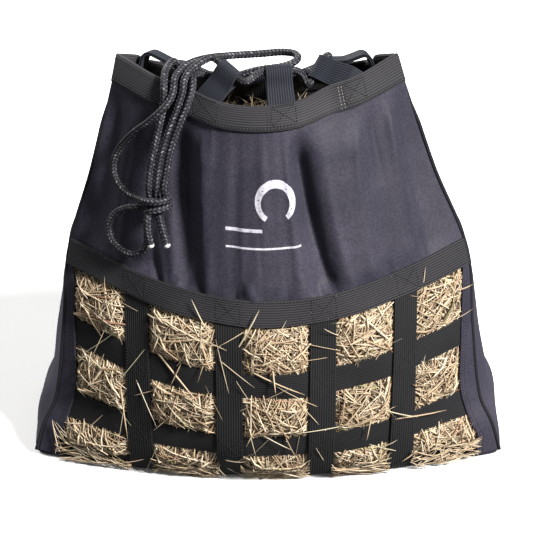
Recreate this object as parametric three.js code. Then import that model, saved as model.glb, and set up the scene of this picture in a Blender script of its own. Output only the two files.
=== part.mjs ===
// Hay bag for horses: a cloth bag standing on its flat base, its lower front a net of webbing
// straps to feed through, its mouth bound in webbing and closed by a braided drawcord.
// Millimetres, +Z up, the feeding side faces -Y, origin at the middle of the base on the floor.
import * as THREE from 'three';

// ---- driving dimensions ----
const WEBBING = 38; // width of every strap, band, binding and cord tab
const WEBBING_THICK = 2;
const CLOTH_THICK = 1.6;
const LAYER_GAP = 0.8; // clearance between two layers sewn on each other
const BINDING_GAP = 1.5; // clearance on each side of the cloth inside the folded rim binding
const SEAM_MARGIN = 5; // how far a panel's edge stays back from its corner seam
const WALL_HEIGHT = 606; // cloth height of a wall, from the base seam to the top of the rim
const BAND_AT = 310; // cloth height of the front band's middle
const UPPER_STRAP_AT = 200;
const LOWER_STRAP_AT = 90;
const NET_BOTTOM = 4;
const NET_BASE_TOP = 26;
const VERTICAL_STRAPS_AT = [-183, -54, 76, 192]; // x of each upright strap's middle
const NET_EDGE_AT = 276; // x where the net meets the cloth margin beside it
const NET_EDGE_FLARE = 32; // how much farther out that is at the base
const PIPING_RADIUS = 3;
const BASE_THICK = 2.4;
const CORD_DIAMETER = 9;
const CORD_SIDES = 8;
const CORD_STEP = 16; // length of one straight step of a cord's tube
const TAB_TAIL = 30; // part of a tab sewn down inside the rim
const TAB_BORE = 6.6; // radius of the loop that the cord runs in
const TAB_INSET = 3; // from the inner face of the walls to a tab
const TAB_FOLD_RADIUS = 10; // of the fold where a tab leans in over the mouth
const HAY_INSET = 12; // from the inside of the walls to the hay
const HAY_FLOOR = 6;
const HAY_TOP = 395; // cloth height up to which the hay fills the bag
const HAY_CROWN = 45; // how far its middle is heaped above that
const SWING_AXIS = { y: -48, z: 577 }; // line along X where the hanging cord bends over the rim
const SWING_CLEARANCE = 5.5; // from that line to the end of each tube that meets there
const SWING_SLOPE = 40; // degrees that the cord dips as it crosses that line

// Cross-sections of the filled bag at rising cloth heights v. A wall is bowed outward by
// bulge in its middle, and its middle hangs lower than its corners by sag. half is half the
// wall's width, y and z place its two corners, side is the bulge of the gussets, and lean
// moves the whole section along X.
const SECTIONS = [
  section(0, { z: 6, half: 340, y: -100, bulge: 52, sag: 0 },
    { z: 6, half: 330, y: 100, bulge: 16, sag: 0 }, 8, 0),
  section(50, { z: 53, half: 326, y: -95, bulge: 84, sag: 8 },
    { z: 53, half: 320, y: 107, bulge: 24, sag: 2 }, 12, 0),
  section(90, { z: 96, half: 306, y: -86, bulge: 108, sag: 14 },
    { z: 96, half: 302, y: 112, bulge: 30, sag: 4 }, 12, 0),
  section(200, { z: 204, half: 291, y: -66, bulge: 126, sag: 20 },
    { z: 204, half: 288, y: 118, bulge: 36, sag: 8 }, 8, 0),
  section(310, { z: 314, half: 280, y: -36, bulge: 130, sag: 24 },
    { z: 310, half: 256, y: 118, bulge: 34, sag: 10 }, 9, 0),
  section(440, { z: 434, half: 236, y: -12, bulge: 120, sag: 24 },
    { z: 420, half: 220, y: 108, bulge: 20, sag: 14 }, -6, -7),
  section(565, { z: 552, half: 200, y: 12, bulge: 108, sag: 24 },
    { z: 516, half: 190, y: 92, bulge: -4, sag: 18 }, -20, -13),
  section(WALL_HEIGHT, { z: 588, half: 190, y: 32, bulge: 106, sag: 30 },
    { z: 553, half: 181, y: 90, bulge: -16, sag: 22 }, -24, -15),
];

// Two folds hang in the upper front panel, where the drawcord gathers its rim.
const FOLD_DEPTH = 14;
const FOLD_AT = 0.42; // of half the panel's width, on each side
const FOLD_WIDTH = 0.14;
const FOLD_START = 300; // cloth height at which the folds begin

// Layers, as distances outward from the inner face of the walls.
const NET_BACK = [0, WEBBING_THICK];
const NET_FRONT = [WEBBING_THICK + LAYER_GAP, 2 * WEBBING_THICK + LAYER_GAP];
const CLOTH = [NET_FRONT[0], NET_FRONT[0] + CLOTH_THICK];
const COVER = [NET_FRONT[1] + LAYER_GAP, NET_FRONT[1] + LAYER_GAP + WEBBING_THICK];

const BLACK_WEBBING = { color: 0x1b1b1d, roughness: 0.75, metalness: 0 };
const CHARCOAL_CLOTH = { color: 0x2a2932, roughness: 0.8, metalness: 0 };
const PIPING = { color: 0x18181b, roughness: 0.8, metalness: 0 };
const BRAIDED_CORD = { color: 0x1c1c1f, roughness: 0.7, metalness: 0 };
const MELTED_TIP = { color: 0xd8d8d6, roughness: 0.35, metalness: 0 };
const HAY = { color: 0xb59a67, roughness: 0.9, metalness: 0 };

const bag = new THREE.Group();

function section(v, front, back, side, lean) {
  const corners = [front.z, front.half, front.y, front.bulge, front.sag];
  return [v, ...corners, back.z, back.half, back.y, back.bulge, back.sag, side, lean];
}

function addPiece(name, geometry, look) {
  const mesh = new THREE.Mesh(geometry, new THREE.MeshStandardMaterial(look));
  mesh.name = name;
  bag.add(mesh);
  return mesh;
}

// ---- the shape of the filled bag ----

// The bag's cross-section at cloth height v: a smooth curve through the sections.
function sectionAt(v) {
  const last = SECTIONS.length - 2;
  let i = 0;
  while (i < last && v >= SECTIONS[i + 1][0]) i += 1;
  const slope = (j) => {
    const below = SECTIONS[Math.max(j - 1, 0)];
    const above = SECTIONS[Math.min(j + 1, last + 1)];
    return below.map((value, k) => (above[k] - value) / (above[0] - below[0]));
  };
  const [low, high, slopeLow, slopeHigh] = [SECTIONS[i], SECTIONS[i + 1], slope(i), slope(i + 1)];
  const span = high[0] - low[0];
  const t = THREE.MathUtils.clamp((v - low[0]) / span, 0, 1);
  const values = low.map((value, k) => (2 * t ** 3 - 3 * t ** 2 + 1) * value
    + (t ** 3 - 2 * t ** 2 + t) * span * slopeLow[k]
    + (-2 * t ** 3 + 3 * t ** 2) * high[k] + (t ** 3 - t ** 2) * span * slopeHigh[k]);
  const wallOf = (k) => ({
    z: values[k], half: values[k + 1], y: values[k + 2], bulge: values[k + 3], sag: values[k + 4],
  });
  return { front: wallOf(1), back: wallOf(6), side: values[11], lean: values[12] };
}

// Where a share q of half a bowed wall's arc lies, as a share of half its width.
const crowding = (wall) => 0.62 * (wall.bulge / wall.half) ** 2;
const spread = (q, wall) => q + crowding(wall) * (q - q ** 3);

function unspread(share, wall) {
  const k = crowding(wall);
  let q = share;
  for (let round = 0; round < 6; round += 1) q = (share + k * q ** 3) / (1 + k);
  return q;
}

function foldAt(q, v) {
  const rise = THREE.MathUtils.clamp((v - FOLD_START) / (WALL_HEIGHT - FOLD_START), 0, 1);
  const ridge = (middle) => Math.exp(-(((q - middle) / FOLD_WIDTH) ** 2));
  return FOLD_DEPTH * rise * rise * (ridge(-FOLD_AT) + ridge(FOLD_AT));
}

// Each wall gives a point for q, -1 to 1 from its one corner to the other, anticlockwise seen
// from above, and v, the cloth height. reach is half the length of its arc.
const frontWall = {
  at(q, v) {
    const { front: wall, lean } = sectionAt(v);
    const share = spread(q, wall);
    const y = wall.y - wall.bulge * (1 - share * share) + foldAt(q, v);
    const z = wall.z - wall.sag * (1 - q * q) ** 2;
    return new THREE.Vector3(lean + wall.half * share, y, z);
  },
  reach: (v) => arcReach(sectionAt(v).front),
};

const backWall = {
  at(q, v) {
    const { back: wall, lean } = sectionAt(v);
    const share = spread(q, wall);
    const y = wall.y + wall.bulge * (1 - share * share);
    const z = wall.z - wall.sag * (1 - q * q) ** 2;
    return new THREE.Vector3(lean - wall.half * share, y, z);
  },
  reach: (v) => arcReach(sectionAt(v).back),
};

function sideWall(sign) {
  return {
    at(q, v) {
      const { front, back, side, lean } = sectionAt(v);
      const t = (1 + q * sign) / 2; // 0 at the front corner, 1 at the back
      const x = front.half + (back.half - front.half) * t + side * 4 * t * (1 - t);
      const y = front.y + (back.y - front.y) * t;
      return new THREE.Vector3(lean + sign * x, y, front.z + (back.z - front.z) * t);
    },
    reach(v) {
      const { front, back } = sectionAt(v);
      return Math.hypot(back.y - front.y, back.z - front.z) / 2;
    },
  };
}

const arcReach = (wall) => wall.half * (1 + (2 / 3) * (wall.bulge / wall.half) ** 2);
const rightWall = sideWall(1);
const leftWall = sideWall(-1);

function slopesAt(wall, q, v) {
  const step = 0.001;
  const across = wall.at(q + step, v).sub(wall.at(q - step, v)).normalize();
  const low = Math.max(v - 1, 0);
  const high = Math.min(v + 1, WALL_HEIGHT);
  const up = wall.at(q, high).sub(wall.at(q, low)).normalize();
  return { across, up, out: new THREE.Vector3().crossVectors(across, up).normalize() };
}

// A point on a wall, moved outward by layer. q is kept back from the corner seams.
function onWall(wall, q, v, layer) {
  const kept = q * (1 - SEAM_MARGIN / wall.reach(v));
  return wall.at(kept, v).addScaledVector(slopesAt(wall, kept, v).out, layer);
}

// ---- making pieces ----

const mix = THREE.MathUtils.lerp;

// Sends each vertex of a geometry to its place.
function bend(geometry, place) {
  const vertices = geometry.attributes.position;
  for (let i = 0; i < vertices.count; i += 1) {
    const to = place(vertices.getX(i), vertices.getY(i), vertices.getZ(i));
    vertices.setXYZ(i, to.x, to.y, to.z);
  }
  geometry.computeVertexNormals();
  return geometry;
}

// A flat strip of cloth or webbing, bent: place gets a share across it, a cloth height and a
// distance outward. heights are the cloth heights of its rows of vertices.
function strip(heights, stepsAcross, layer, place) {
  const rows = heights.length - 1;
  const flat = new THREE.BoxGeometry(1, 1, 1, stepsAcross, rows, 1);
  flat.translate(0.5, 0.5, 0.5);
  return bend(flat, (share, row, depth) => place(share, heights[Math.round(row * rows)],
    mix(...layer, depth)));
}

// Cloth heights from low to high in equal steps.
const evenly = (low, high, steps) => Array.from({ length: steps + 1 },
  (_, i) => mix(low, high, i / steps));

// A strip that runs round a wall from q0 to q1, which are its two corners unless given.
function roundWall(name, wall, heights, layer, steps, look, [q0, q1] = [-1, 1]) {
  const geometry = strip(heights, steps, layer,
    (share, v, out) => onWall(wall, mix(q0, q1, share), v, out));
  addPiece(name, geometry, look);
}

function disc(radius, sides) {
  return Array.from({ length: sides }, (_, i) => {
    const turn = (2 * Math.PI * i) / sides;
    return new THREE.Vector2(radius * Math.cos(turn), radius * Math.sin(turn));
  });
}

const toVector = (point) => (Array.isArray(point) ? new THREE.Vector3(...point) : point);

function tube(points, radius, sides, step) {
  const path = new THREE.CatmullRomCurve3(points, false, 'centripetal');
  const steps = Math.max(2, Math.round(path.getLength() / step));
  const shape = new THREE.Shape(disc(radius, sides));
  return new THREE.ExtrudeGeometry(shape, { steps, extrudePath: path, bevelEnabled: false });
}

function addCord(name, points) {
  const geometry = tube(points.map(toVector), CORD_DIAMETER / 2, CORD_SIDES, CORD_STEP);
  return addPiece(name, geometry, BRAIDED_CORD);
}

// ---- cloth panels ----

const BINDING_LOW = WALL_HEIGHT - WEBBING; // cloth height of the rim binding's lower edge

function addPanels() {
  const clothTop = WALL_HEIGHT - WEBBING_THICK - BINDING_GAP;
  const heightsFrom = (low, steps) => [...evenly(low, BINDING_LOW, steps), clothTop];
  const add = (name, wall, low, steps, around) => roundWall(name, wall,
    heightsFrom(low, steps), CLOTH, around, CHARCOAL_CLOTH);
  add('front_panel', frontWall, BAND_AT - 10, 8, 24);
  add('back_panel', backWall, NET_BOTTOM, 12, 16);
  add('side_panel_left', leftWall, NET_BOTTOM, 12, 6);
  add('side_panel_right', rightWall, NET_BOTTOM, 12, 6);
}

// Half the width of the net at cloth height v, up to the cloth margin beside it.
function netHalf(v) {
  const flare = THREE.MathUtils.clamp(1 - (v - 40) / 100, 0, 1);
  return NET_EDGE_AT + NET_EDGE_FLARE * flare * flare;
}

function addNetMargins() {
  const heights = evenly(NET_BOTTOM - 1, BAND_AT - 12, 16);
  for (const [name, sign] of [['net_edge_left', -1], ['net_edge_right', 1]]) {
    const geometry = strip(heights, 2, CLOTH, (share, v, out) => {
      const { front } = sectionAt(v);
      const inner = unspread(netHalf(v) / front.half, front);
      const outward = sign < 0 ? 1 - share : share;
      return onWall(frontWall, sign * mix(inner, 1, outward), v, out);
    });
    addPiece(name, geometry, CHARCOAL_CLOTH);
  }
}

// ---- webbing ----

function addNet() {
  const ends = [-0.985, 0.985];
  const across = (name, middle) => roundWall(name, frontWall,
    evenly(middle - WEBBING / 2, middle + WEBBING / 2, 2), NET_BACK, 24, BLACK_WEBBING, ends);
  across('net_strap_upper', UPPER_STRAP_AT);
  across('net_strap_lower', LOWER_STRAP_AT);
  roundWall('net_edge_base', frontWall, [NET_BOTTOM, NET_BASE_TOP], NET_BACK, 24,
    BLACK_WEBBING, ends);
  VERTICAL_STRAPS_AT.forEach((x, i) => {
    const heights = evenly(NET_BOTTOM - 1, BAND_AT - 13, 16);
    const geometry = strip(heights, 2, NET_FRONT, (share, v, out) => {
      const { front, lean } = sectionAt(v);
      const sideways = (share - 0.5) * (WEBBING / frontWall.reach(v));
      return onWall(frontWall, unspread((x - lean) / front.half, front) + sideways, v, out);
    });
    addPiece(`net_strap_vertical_${i + 1}`, geometry, BLACK_WEBBING);
  });
  roundWall('front_band', frontWall, evenly(BAND_AT - WEBBING / 2, BAND_AT + WEBBING / 2, 2),
    COVER, 24, BLACK_WEBBING);
}

// The binding is folded over the cloth's top edge, so its section is an upside-down U.
function addRimBinding() {
  const slotTop = WALL_HEIGHT - WEBBING_THICK;
  const inner = CLOTH[0] - BINDING_GAP;
  const outer = CLOTH[1] + BINDING_GAP;
  const shape = new THREE.Shape([
    [BINDING_LOW, inner - WEBBING_THICK], [WALL_HEIGHT, inner - WEBBING_THICK],
    [WALL_HEIGHT, outer + WEBBING_THICK], [BINDING_LOW, outer + WEBBING_THICK],
    [BINDING_LOW, outer], [slotTop, outer], [slotTop, inner], [BINDING_LOW, inner],
  ].map(([v, out]) => new THREE.Vector2(v, out)));
  const bind = (name, wall, steps) => {
    const flat = new THREE.ExtrudeGeometry(shape, { steps, depth: 1, bevelEnabled: false });
    const geometry = bend(flat, (v, out, share) => onWall(wall, mix(-1, 1, share), v, out));
    addPiece(name, geometry, BLACK_WEBBING);
  };
  bind('rim_binding_front', frontWall, 24);
  bind('rim_binding_back', backWall, 16);
  bind('rim_binding_left', leftWall, 6);
  bind('rim_binding_right', rightWall, 6);
}

// A length of piping in each corner seam, between the two panels that meet there.
function addPiping() {
  const corners = [
    ['seam_piping_front_left', frontWall, -1, leftWall, 1],
    ['seam_piping_front_right', frontWall, 1, rightWall, -1],
    ['seam_piping_back_left', backWall, 1, leftWall, -1],
    ['seam_piping_back_right', backWall, -1, rightWall, 1],
  ];
  const stations = 14;
  for (const [name, wall, q, otherWall, otherQ] of corners) {
    const points = [];
    for (let i = 0; i <= stations; i += 1) {
      const v = mix(NET_BOTTOM, BINDING_LOW - 4, i / stations);
      const out = slopesAt(wall, q * 0.99, v).out.add(slopesAt(otherWall, otherQ * 0.9, v).out);
      points.push(wall.at(q, v).addScaledVector(out.normalize(), PIPING_RADIUS));
    }
    addPiece(name, tube(points, PIPING_RADIUS, 6, 32), PIPING);
  }
}

// ---- cord tabs: webbing loops sewn inside the rim ----

// lean turns a tab sideways along the rim and tilt folds it inward at the rim's edge, both in
// degrees, as the drawn cord pulls it. rise goes from the rim's edge to the cord's middle.
const TABS = [
  { wall: frontWall, q: -0.3, lean: 40, tilt: 8, rise: 45, inset: TAB_INSET },
  { wall: frontWall, q: 0.15, lean: 0, tilt: 4, rise: 48, inset: TAB_INSET },
  { wall: frontWall, q: 0.6, lean: -50, tilt: 38, rise: 50, inset: 2.5 * TAB_INSET },
  { wall: rightWall, q: 0.12, lean: 0, tilt: 88, rise: 60, inset: TAB_INSET },
  { wall: backWall, q: 0, lean: 0, tilt: 40, rise: 46, inset: TAB_INSET },
  { wall: leftWall, q: 0, lean: 0, tilt: 98, rise: 68, inset: TAB_INSET },
];

// A point of a tab: out of the bag, up the tab's length from the rim's edge, and along the
// cord in its loop.
function tabPoint({ wall, q, lean, tilt, inset }, out, up, along) {
  const wallWay = slopesAt(wall, q, WALL_HEIGHT);
  const turn = THREE.MathUtils.degToRad(lean);
  const upright = wallWay.up.clone().applyAxisAngle(wallWay.out, -turn);
  const cordWay = new THREE.Vector3().crossVectors(wallWay.out, upright);
  const fold = THREE.MathUtils.degToRad(tilt);
  const bent = THREE.MathUtils.clamp(up / TAB_FOLD_RADIUS, 0, fold);
  const straight = up - bent * TAB_FOLD_RADIUS;
  const outward = out * Math.cos(bent) - straight * Math.sin(bent)
    - TAB_FOLD_RADIUS * (1 - Math.cos(bent)) - inset - WEBBING_THICK;
  const upward = out * Math.sin(bent) + straight * Math.cos(bent)
    + TAB_FOLD_RADIUS * Math.sin(bent);
  return wall.at(q, WALL_HEIGHT).addScaledVector(wallWay.out, outward)
    .addScaledVector(upright, upward).addScaledVector(cordWay, along);
}

// The middle line of a tab's folded webbing, as [out, up]: up its outer layer, round the cord
// and down its inner layer.
function tabLine({ rise }) {
  const apart = WEBBING_THICK / 2 + 0.2;
  const ring = TAB_BORE + WEBBING_THICK / 2;
  const over = evenly(0, Math.PI, 10).map(
    (turn) => [ring * Math.cos(turn), rise + ring * Math.sin(turn)]);
  const leg = [-TAB_TAIL, -12, 0, 3.5, 7, 10.5, rise - 24].map((up) => [apart, up]);
  const inner = leg.map(([out, up]) => [-out, up]).toReversed();
  return [...leg, [0.75 * ring, rise - 9], ...over, [-0.75 * ring, rise - 9], ...inner];
}

function addTabs() {
  TABS.forEach((tab, i) => {
    const line = tabLine(tab).map(([out, up]) => new THREE.Vector2(out, up));
    const squareTo = (k) => {
      const before = line[Math.max(k - 1, 0)];
      const way = line[Math.min(k + 1, line.length - 1)].clone().sub(before).normalize();
      return new THREE.Vector2(way.y, -way.x);
    };
    const layer = [-WEBBING_THICK / 2, WEBBING_THICK / 2];
    const stations = line.map((_, k) => k);
    const geometry = strip(stations, 1, layer, (share, k, out) => {
      const at = line[k].clone().addScaledVector(squareTo(k), out);
      return tabPoint(tab, at.x, at.y, (0.5 - share) * WEBBING);
    });
    addPiece(`cord_tab_${i + 1}`, geometry, BLACK_WEBBING);
  });
}

// ---- drawcord ----

// The cord that the tabs hold, from the left tab round the back and the right to the front
// left tab: straight through each tab, with a slight drop between two of them.
function rimCordRoute() {
  const reach = WEBBING / 2 + 11;
  const drop = 5;
  const points = [];
  for (const tab of TABS.toReversed()) {
    const inTab = (along) => tabPoint(tab, 0, tab.rise, along);
    const entry = inTab(-reach);
    if (points.length > 0) {
      const halfway = points.at(-1).clone().lerp(entry, 0.5);
      points.push(halfway.add(new THREE.Vector3(0, 0, -drop)));
    }
    points.push(entry, inTab(-reach / 2), inTab(reach / 2), inTab(reach));
  }
  return points;
}

// Where a cord at x ends on each side of the swing axis: side is 1 on the rim's side and -1
// on the hanging side.
function atSwing(x, side) {
  const slope = THREE.MathUtils.degToRad(SWING_SLOPE);
  const y = SWING_AXIS.y + side * SWING_CLEARANCE * Math.cos(slope);
  return [x, y, SWING_AXIS.z + side * SWING_CLEARANCE * Math.sin(slope)];
}

// Places along X where the four strands cross the swing axis.
const STRANDS = { leftTab: -140, loop: -127, frontTab: -114, bight: -101 };

const KNOT = { at: [-153, -108, 431], size: [22, 15, 18] };

// Free stretches of the same cord. Those named fall, loop or end hang from the swing axis.
const CORD_ROUTES = {
  drawcord_bight: [
    atSwing(STRANDS.bight, 1), [-101, -30, 583], [-97, -17, 580], [-78, -14, 574],
    [-50, -14, 574], [-14, -14, 584], [24, -13, 590], [40, -3, 594], [38, 16, 594],
    [20, 27, 592], [-10, 28, 589], [-50, 20, 590], [-86, 2, 594], [-110, -14, 592],
    [-123, -29, 585], atSwing(STRANDS.loop, 1),
  ],
  drawcord_loop: [
    atSwing(STRANDS.loop, -1), [-133, -66, 561], [-143, -74, 552], [-159, -73, 536],
    [-184, -59, 510], [-203, -50, 484], [-212, -50, 463], [-211, -58, 444], [-199, -74, 431],
    [-184, -88, 428], [-176, -97, 430],
  ],
  drawcord_fall_1: [
    atSwing(STRANDS.leftTab, -1), [-141, -60, 553], [-147, -74, 526], [-155, -87, 494],
    [-160, -96, 468], [-162, -104, 449],
  ],
  drawcord_fall_2: [
    atSwing(STRANDS.frontTab, -1), [-122, -66, 551], [-134, -79, 523], [-144, -90, 494],
    [-149, -99, 468], [-151, -106, 450.5],
  ],
  drawcord_fall_3: [
    atSwing(STRANDS.bight, -1), [-108, -67, 556], [-122, -81, 526], [-133, -93, 494],
    [-138, -102, 468], [-141, -109, 449],
  ],
  drawcord_lower_loop: [
    [-175, -104, 422], [-190, -92, 414], [-209, -82, 400], [-220, -82, 381],
    [-216, -92, 362], [-200, -106, 353], [-182, -116, 353], [-168, -118, 364],
    [-165, -115, 380], [-166, -111, 396], [-166, -109, 411],
  ],
  drawcord_end_left: [
    [-163, -119, 415], [-164, -125, 400], [-160, -131, 378],
  ],
  drawcord_end_right: [
    [-148, -114, 411.5], [-145, -118, 398], [-138, -128, 376],
  ],
};

function addKnot() {
  const ball = new THREE.SphereGeometry(1, 14, 10);
  ball.scale(...KNOT.size);
  ball.translate(...KNOT.at);
  addPiece('drawcord_knot', ball, BRAIDED_CORD);
}

// The two ends are melted so that the braid can't open.
function addCordTips() {
  const length = 5;
  for (const side of ['left', 'right']) {
    const route = CORD_ROUTES[`drawcord_end_${side}`].map((p) => new THREE.Vector3(...p));
    const [before, end] = route.slice(-2);
    const away = end.clone().sub(before).normalize();
    const profile = [[0, 0], [4.5, 0], [4.4, 2.4], [2.6, length], [0, length]];
    const tip = new THREE.LatheGeometry(profile.map((p) => new THREE.Vector2(...p)), 10);
    const turn = new THREE.Quaternion().setFromUnitVectors(new THREE.Vector3(0, 1, 0), away);
    const mesh = addPiece(`drawcord_tip_${side}`, tip, MELTED_TIP);
    mesh.quaternion.copy(turn);
    mesh.position.copy(end).addScaledVector(away, 0.5);
  }
}

// A route that carries on from the held cord's end, past its last point but one.
function leadFrom(end, before, route) {
  const on = end.clone().sub(before).normalize();
  return [end.clone().addScaledVector(on, 0.5), end.clone().addScaledVector(on, 6), ...route];
}

function addDrawcord() {
  const held = rimCordRoute();
  addCord('drawcord_rim', held);
  addCord('drawcord_from_left_tab', leadFrom(held[0], held[1], [
    [-128, -2, 592], [-138, -24, 590], atSwing(STRANDS.leftTab, 1),
  ]));
  addCord('drawcord_from_front_tab', leadFrom(held.at(-1), held.at(-2), [
    [-105, -31, 591], atSwing(STRANDS.frontTab, 1),
  ]));
  for (const [name, route] of Object.entries(CORD_ROUTES)) addCord(name, route);
  addKnot();
  addCordTips();
}

// ---- base and hay ----

// The bag's outline at cloth height v, moved outward by layer. turn goes anticlockwise from
// the middle of the front. Each half of the front and back takes a sixth of it, and so does
// each gusset.
function outlineAt(turn, v, layer) {
  const sixths = (((turn / (2 * Math.PI)) * 6) % 6 + 6) % 6;
  if (sixths <= 1) return onWall(frontWall, sixths, v, layer);
  if (sixths < 2) return onWall(rightWall, 2 * (sixths - 1) - 1, v, layer);
  if (sixths <= 4) return onWall(backWall, sixths - 3, v, layer);
  if (sixths < 5) return onWall(leftWall, 2 * (sixths - 4) - 1, v, layer);
  return onWall(frontWall, sixths - 6, v, layer);
}

// Turns a lathed body, radius 1, into the bag's outline at the cloth height that heightAt
// gives for a height in the profile; levelAt then gives z from that height and the wall's z.
function fillBag(profile, segments, layer, heightAt, levelAt) {
  const body = new THREE.LatheGeometry(profile.map((p) => new THREE.Vector2(...p)), segments);
  return bend(body, (x, height, y) => {
    const radius = Math.hypot(x, y);
    const v = heightAt(height);
    const rim = outlineAt(Math.atan2(x, y), v, layer);
    const { front, back, lean } = sectionAt(v);
    const middle = new THREE.Vector2(lean, (front.y - front.bulge + back.y + back.bulge) / 2);
    return new THREE.Vector3(mix(middle.x, rim.x, radius), mix(middle.y, rim.y, radius),
      levelAt(height, rim.z));
  });
}

function addBase() {
  const profile = [[0, 0], [1, 0], [1, BASE_THICK], [0, BASE_THICK]];
  const flat = fillBag(profile, 36, -SEAM_MARGIN, () => 0, (height) => height);
  addPiece('base_panel', flat, CHARCOAL_CLOTH);
}

function addHay() {
  const profile = [
    [0, 0], [0.5, 0], [0.93, 0], [1, 0.08], [1, 0.22], [1, 0.4], [1, 0.6], [1, 0.8], [0.98, 1],
    [0.8, 1.5], [0.45, 1.9], [0, 2],
  ];
  const heightAt = (height) => HAY_TOP * Math.min(height, 1);
  const levelAt = (height, wallLevel) => {
    if (height === 0) return HAY_FLOOR;
    return wallLevel + HAY_CROWN * Math.max(height - 1, 0);
  };
  addPiece('hay_fill', fillBag(profile, 36, -HAY_INSET, heightAt, levelAt), HAY);
}

addBase();
addHay();
addPanels();
addNetMargins();
addNet();
addRimBinding();
addPiping();
addTabs();
addDrawcord();

export default bag;
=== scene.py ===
# Looks of the hay bag: draped cloth, ribbed webbing, braided drawcord and loose hay.
# The shape functions and the sizes below are in millimetres, as in the CAD source, and become
# metres when a mesh is made. The feeding side faces -Y.
import math
from collections import namedtuple

import bpy
import numpy as np
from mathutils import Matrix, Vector


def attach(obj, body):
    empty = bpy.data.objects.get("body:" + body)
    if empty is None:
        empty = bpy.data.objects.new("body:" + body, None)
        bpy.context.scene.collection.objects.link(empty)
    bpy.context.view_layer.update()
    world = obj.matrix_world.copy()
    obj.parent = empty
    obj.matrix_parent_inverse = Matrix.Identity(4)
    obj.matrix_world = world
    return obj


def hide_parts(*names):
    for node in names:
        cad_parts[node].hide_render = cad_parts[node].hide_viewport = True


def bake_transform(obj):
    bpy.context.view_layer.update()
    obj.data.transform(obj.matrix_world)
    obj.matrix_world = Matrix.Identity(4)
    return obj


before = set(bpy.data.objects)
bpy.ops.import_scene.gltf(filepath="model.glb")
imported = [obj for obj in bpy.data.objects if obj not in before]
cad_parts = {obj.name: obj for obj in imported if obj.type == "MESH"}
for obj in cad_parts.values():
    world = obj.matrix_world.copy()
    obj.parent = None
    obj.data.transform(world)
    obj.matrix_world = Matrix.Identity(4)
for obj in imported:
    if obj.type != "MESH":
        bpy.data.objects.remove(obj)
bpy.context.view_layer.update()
random = np.random.default_rng(7)

MM = 0.001
BAG = "bag"
TAIL = "cord_tail"

# ---- driving dimensions, as in the CAD source ----
WEBBING = 38.0
WEBBING_THICK = 2.0
CLOTH_THICK = 1.6
LAYER_GAP = 0.8
BINDING_GAP = 1.5
SEAM_MARGIN = 2.5
WALL_HEIGHT = 606.0
BAND_AT = 310.0
STRAPS_AT = {"net_strap_upper": 200.0, "net_strap_lower": 90.0}
NET_BOTTOM = 4.0
NET_BASE_TOP = 26.0
VERTICAL_STRAPS_AT = [-183.0, -54.0, 76.0, 192.0]
NET_EDGE_AT = 276.0
NET_EDGE_FLARE = 32.0
PIPING_RADIUS = 3.0
CORD_DIAMETER = 9.0
TAB_TAIL = 30.0
TAB_BORE = 6.6
TAB_INSET = 3.0
TAB_FOLD_RADIUS = 10.0
TAB_LEAD = 11.0  # how far past a tab's edge its cord runs straight
HELD_SAG = 5.0
HAY_INSET = 12.0
HAY_FLOOR = 6.0
HAY_TOP = 395.0
HAY_CROWN = 45.0
SWING_AXIS = (-48.0, 577.0)
SWING_CLEARANCE = 5.5
SWING_SLOPE = math.radians(40)

NET_BACK = 0.0
NET_FRONT = WEBBING_THICK + LAYER_GAP
CLOTH_OUT = NET_FRONT + CLOTH_THICK / 2
COVER = NET_FRONT + WEBBING_THICK + LAYER_GAP
BINDING_LOW = WALL_HEIGHT - WEBBING

# Cross-sections of the filled bag: cloth height, then z, half width, y, bulge and sag of the
# front and of the back, then the gussets' bulge and how far the section leans along X.
SECTIONS = np.array([
    [0, 6, 340, -100, 52, 0, 6, 330, 100, 16, 0, 8, 0],
    [50, 53, 326, -95, 84, 8, 53, 320, 107, 24, 2, 12, 0],
    [90, 96, 306, -86, 108, 14, 96, 302, 112, 30, 4, 12, 0],
    [200, 204, 291, -66, 126, 20, 204, 288, 118, 36, 8, 8, 0],
    [310, 314, 280, -36, 130, 24, 310, 256, 118, 34, 10, 9, 0],
    [440, 434, 236, -12, 120, 24, 420, 220, 108, 20, 14, -6, -7],
    [565, 552, 200, 12, 108, 24, 516, 190, 92, -4, 18, -20, -13],
    [606, 588, 190, 32, 106, 30, 553, 181, 90, -16, 22, -24, -15],
], float)
FRONT, BACK, SIDE_BULGE, LEAN = slice(1, 6), slice(6, 11), 11, 12
Z, HALF, Y, BULGE = range(4)  # columns of the front's part of a section, and of the back's

# ---- visual detail ----
FOLD_DEPTH = 14.0
FOLD_AT = 0.42
FOLD_WIDTH = 0.14
FOLD_START = 300.0
RIBS = 11
RIB_DEPTH = 0.45
STITCH = 3.4
STITCH_GAP = 1.3
THREAD = 0.55
NEAR_SEAM = 0.985  # where straps and rows of stitches end, as a share of half a wall's arc


def add_object(name, data):
    made = bpy.data.objects.new(name, data)
    bpy.context.scene.collection.objects.link(made)
    return made


# ---- camera ----

def add_camera():
    elevation = math.radians(31)
    distance = 2.6
    target = Vector((0, -0.070, 0.306))
    away = Vector((0, -math.cos(elevation), math.sin(elevation)))
    data = bpy.data.cameras.new("camera")
    data.sensor_width = 36
    data.lens = 124.5
    data.shift_x = -0.0028
    camera = add_object("camera", data)
    camera.location = target + away * distance
    camera.rotation_euler = (math.pi / 2 - elevation, 0, 0)
    bpy.context.scene.camera = camera


# ---- the shape of the filled bag ----

def slopes_of(table):
    below = table[[max(j - 1, 0) for j in range(len(table))]]
    above = table[[min(j + 1, len(table) - 1) for j in range(len(table))]]
    return (above - below) / (above[:, :1] - below[:, :1])


SLOPES = slopes_of(SECTIONS)


def together(*values):
    """The values as arrays of one shape."""
    return np.broadcast_arrays(*(np.asarray(a, float) for a in values))


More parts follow.
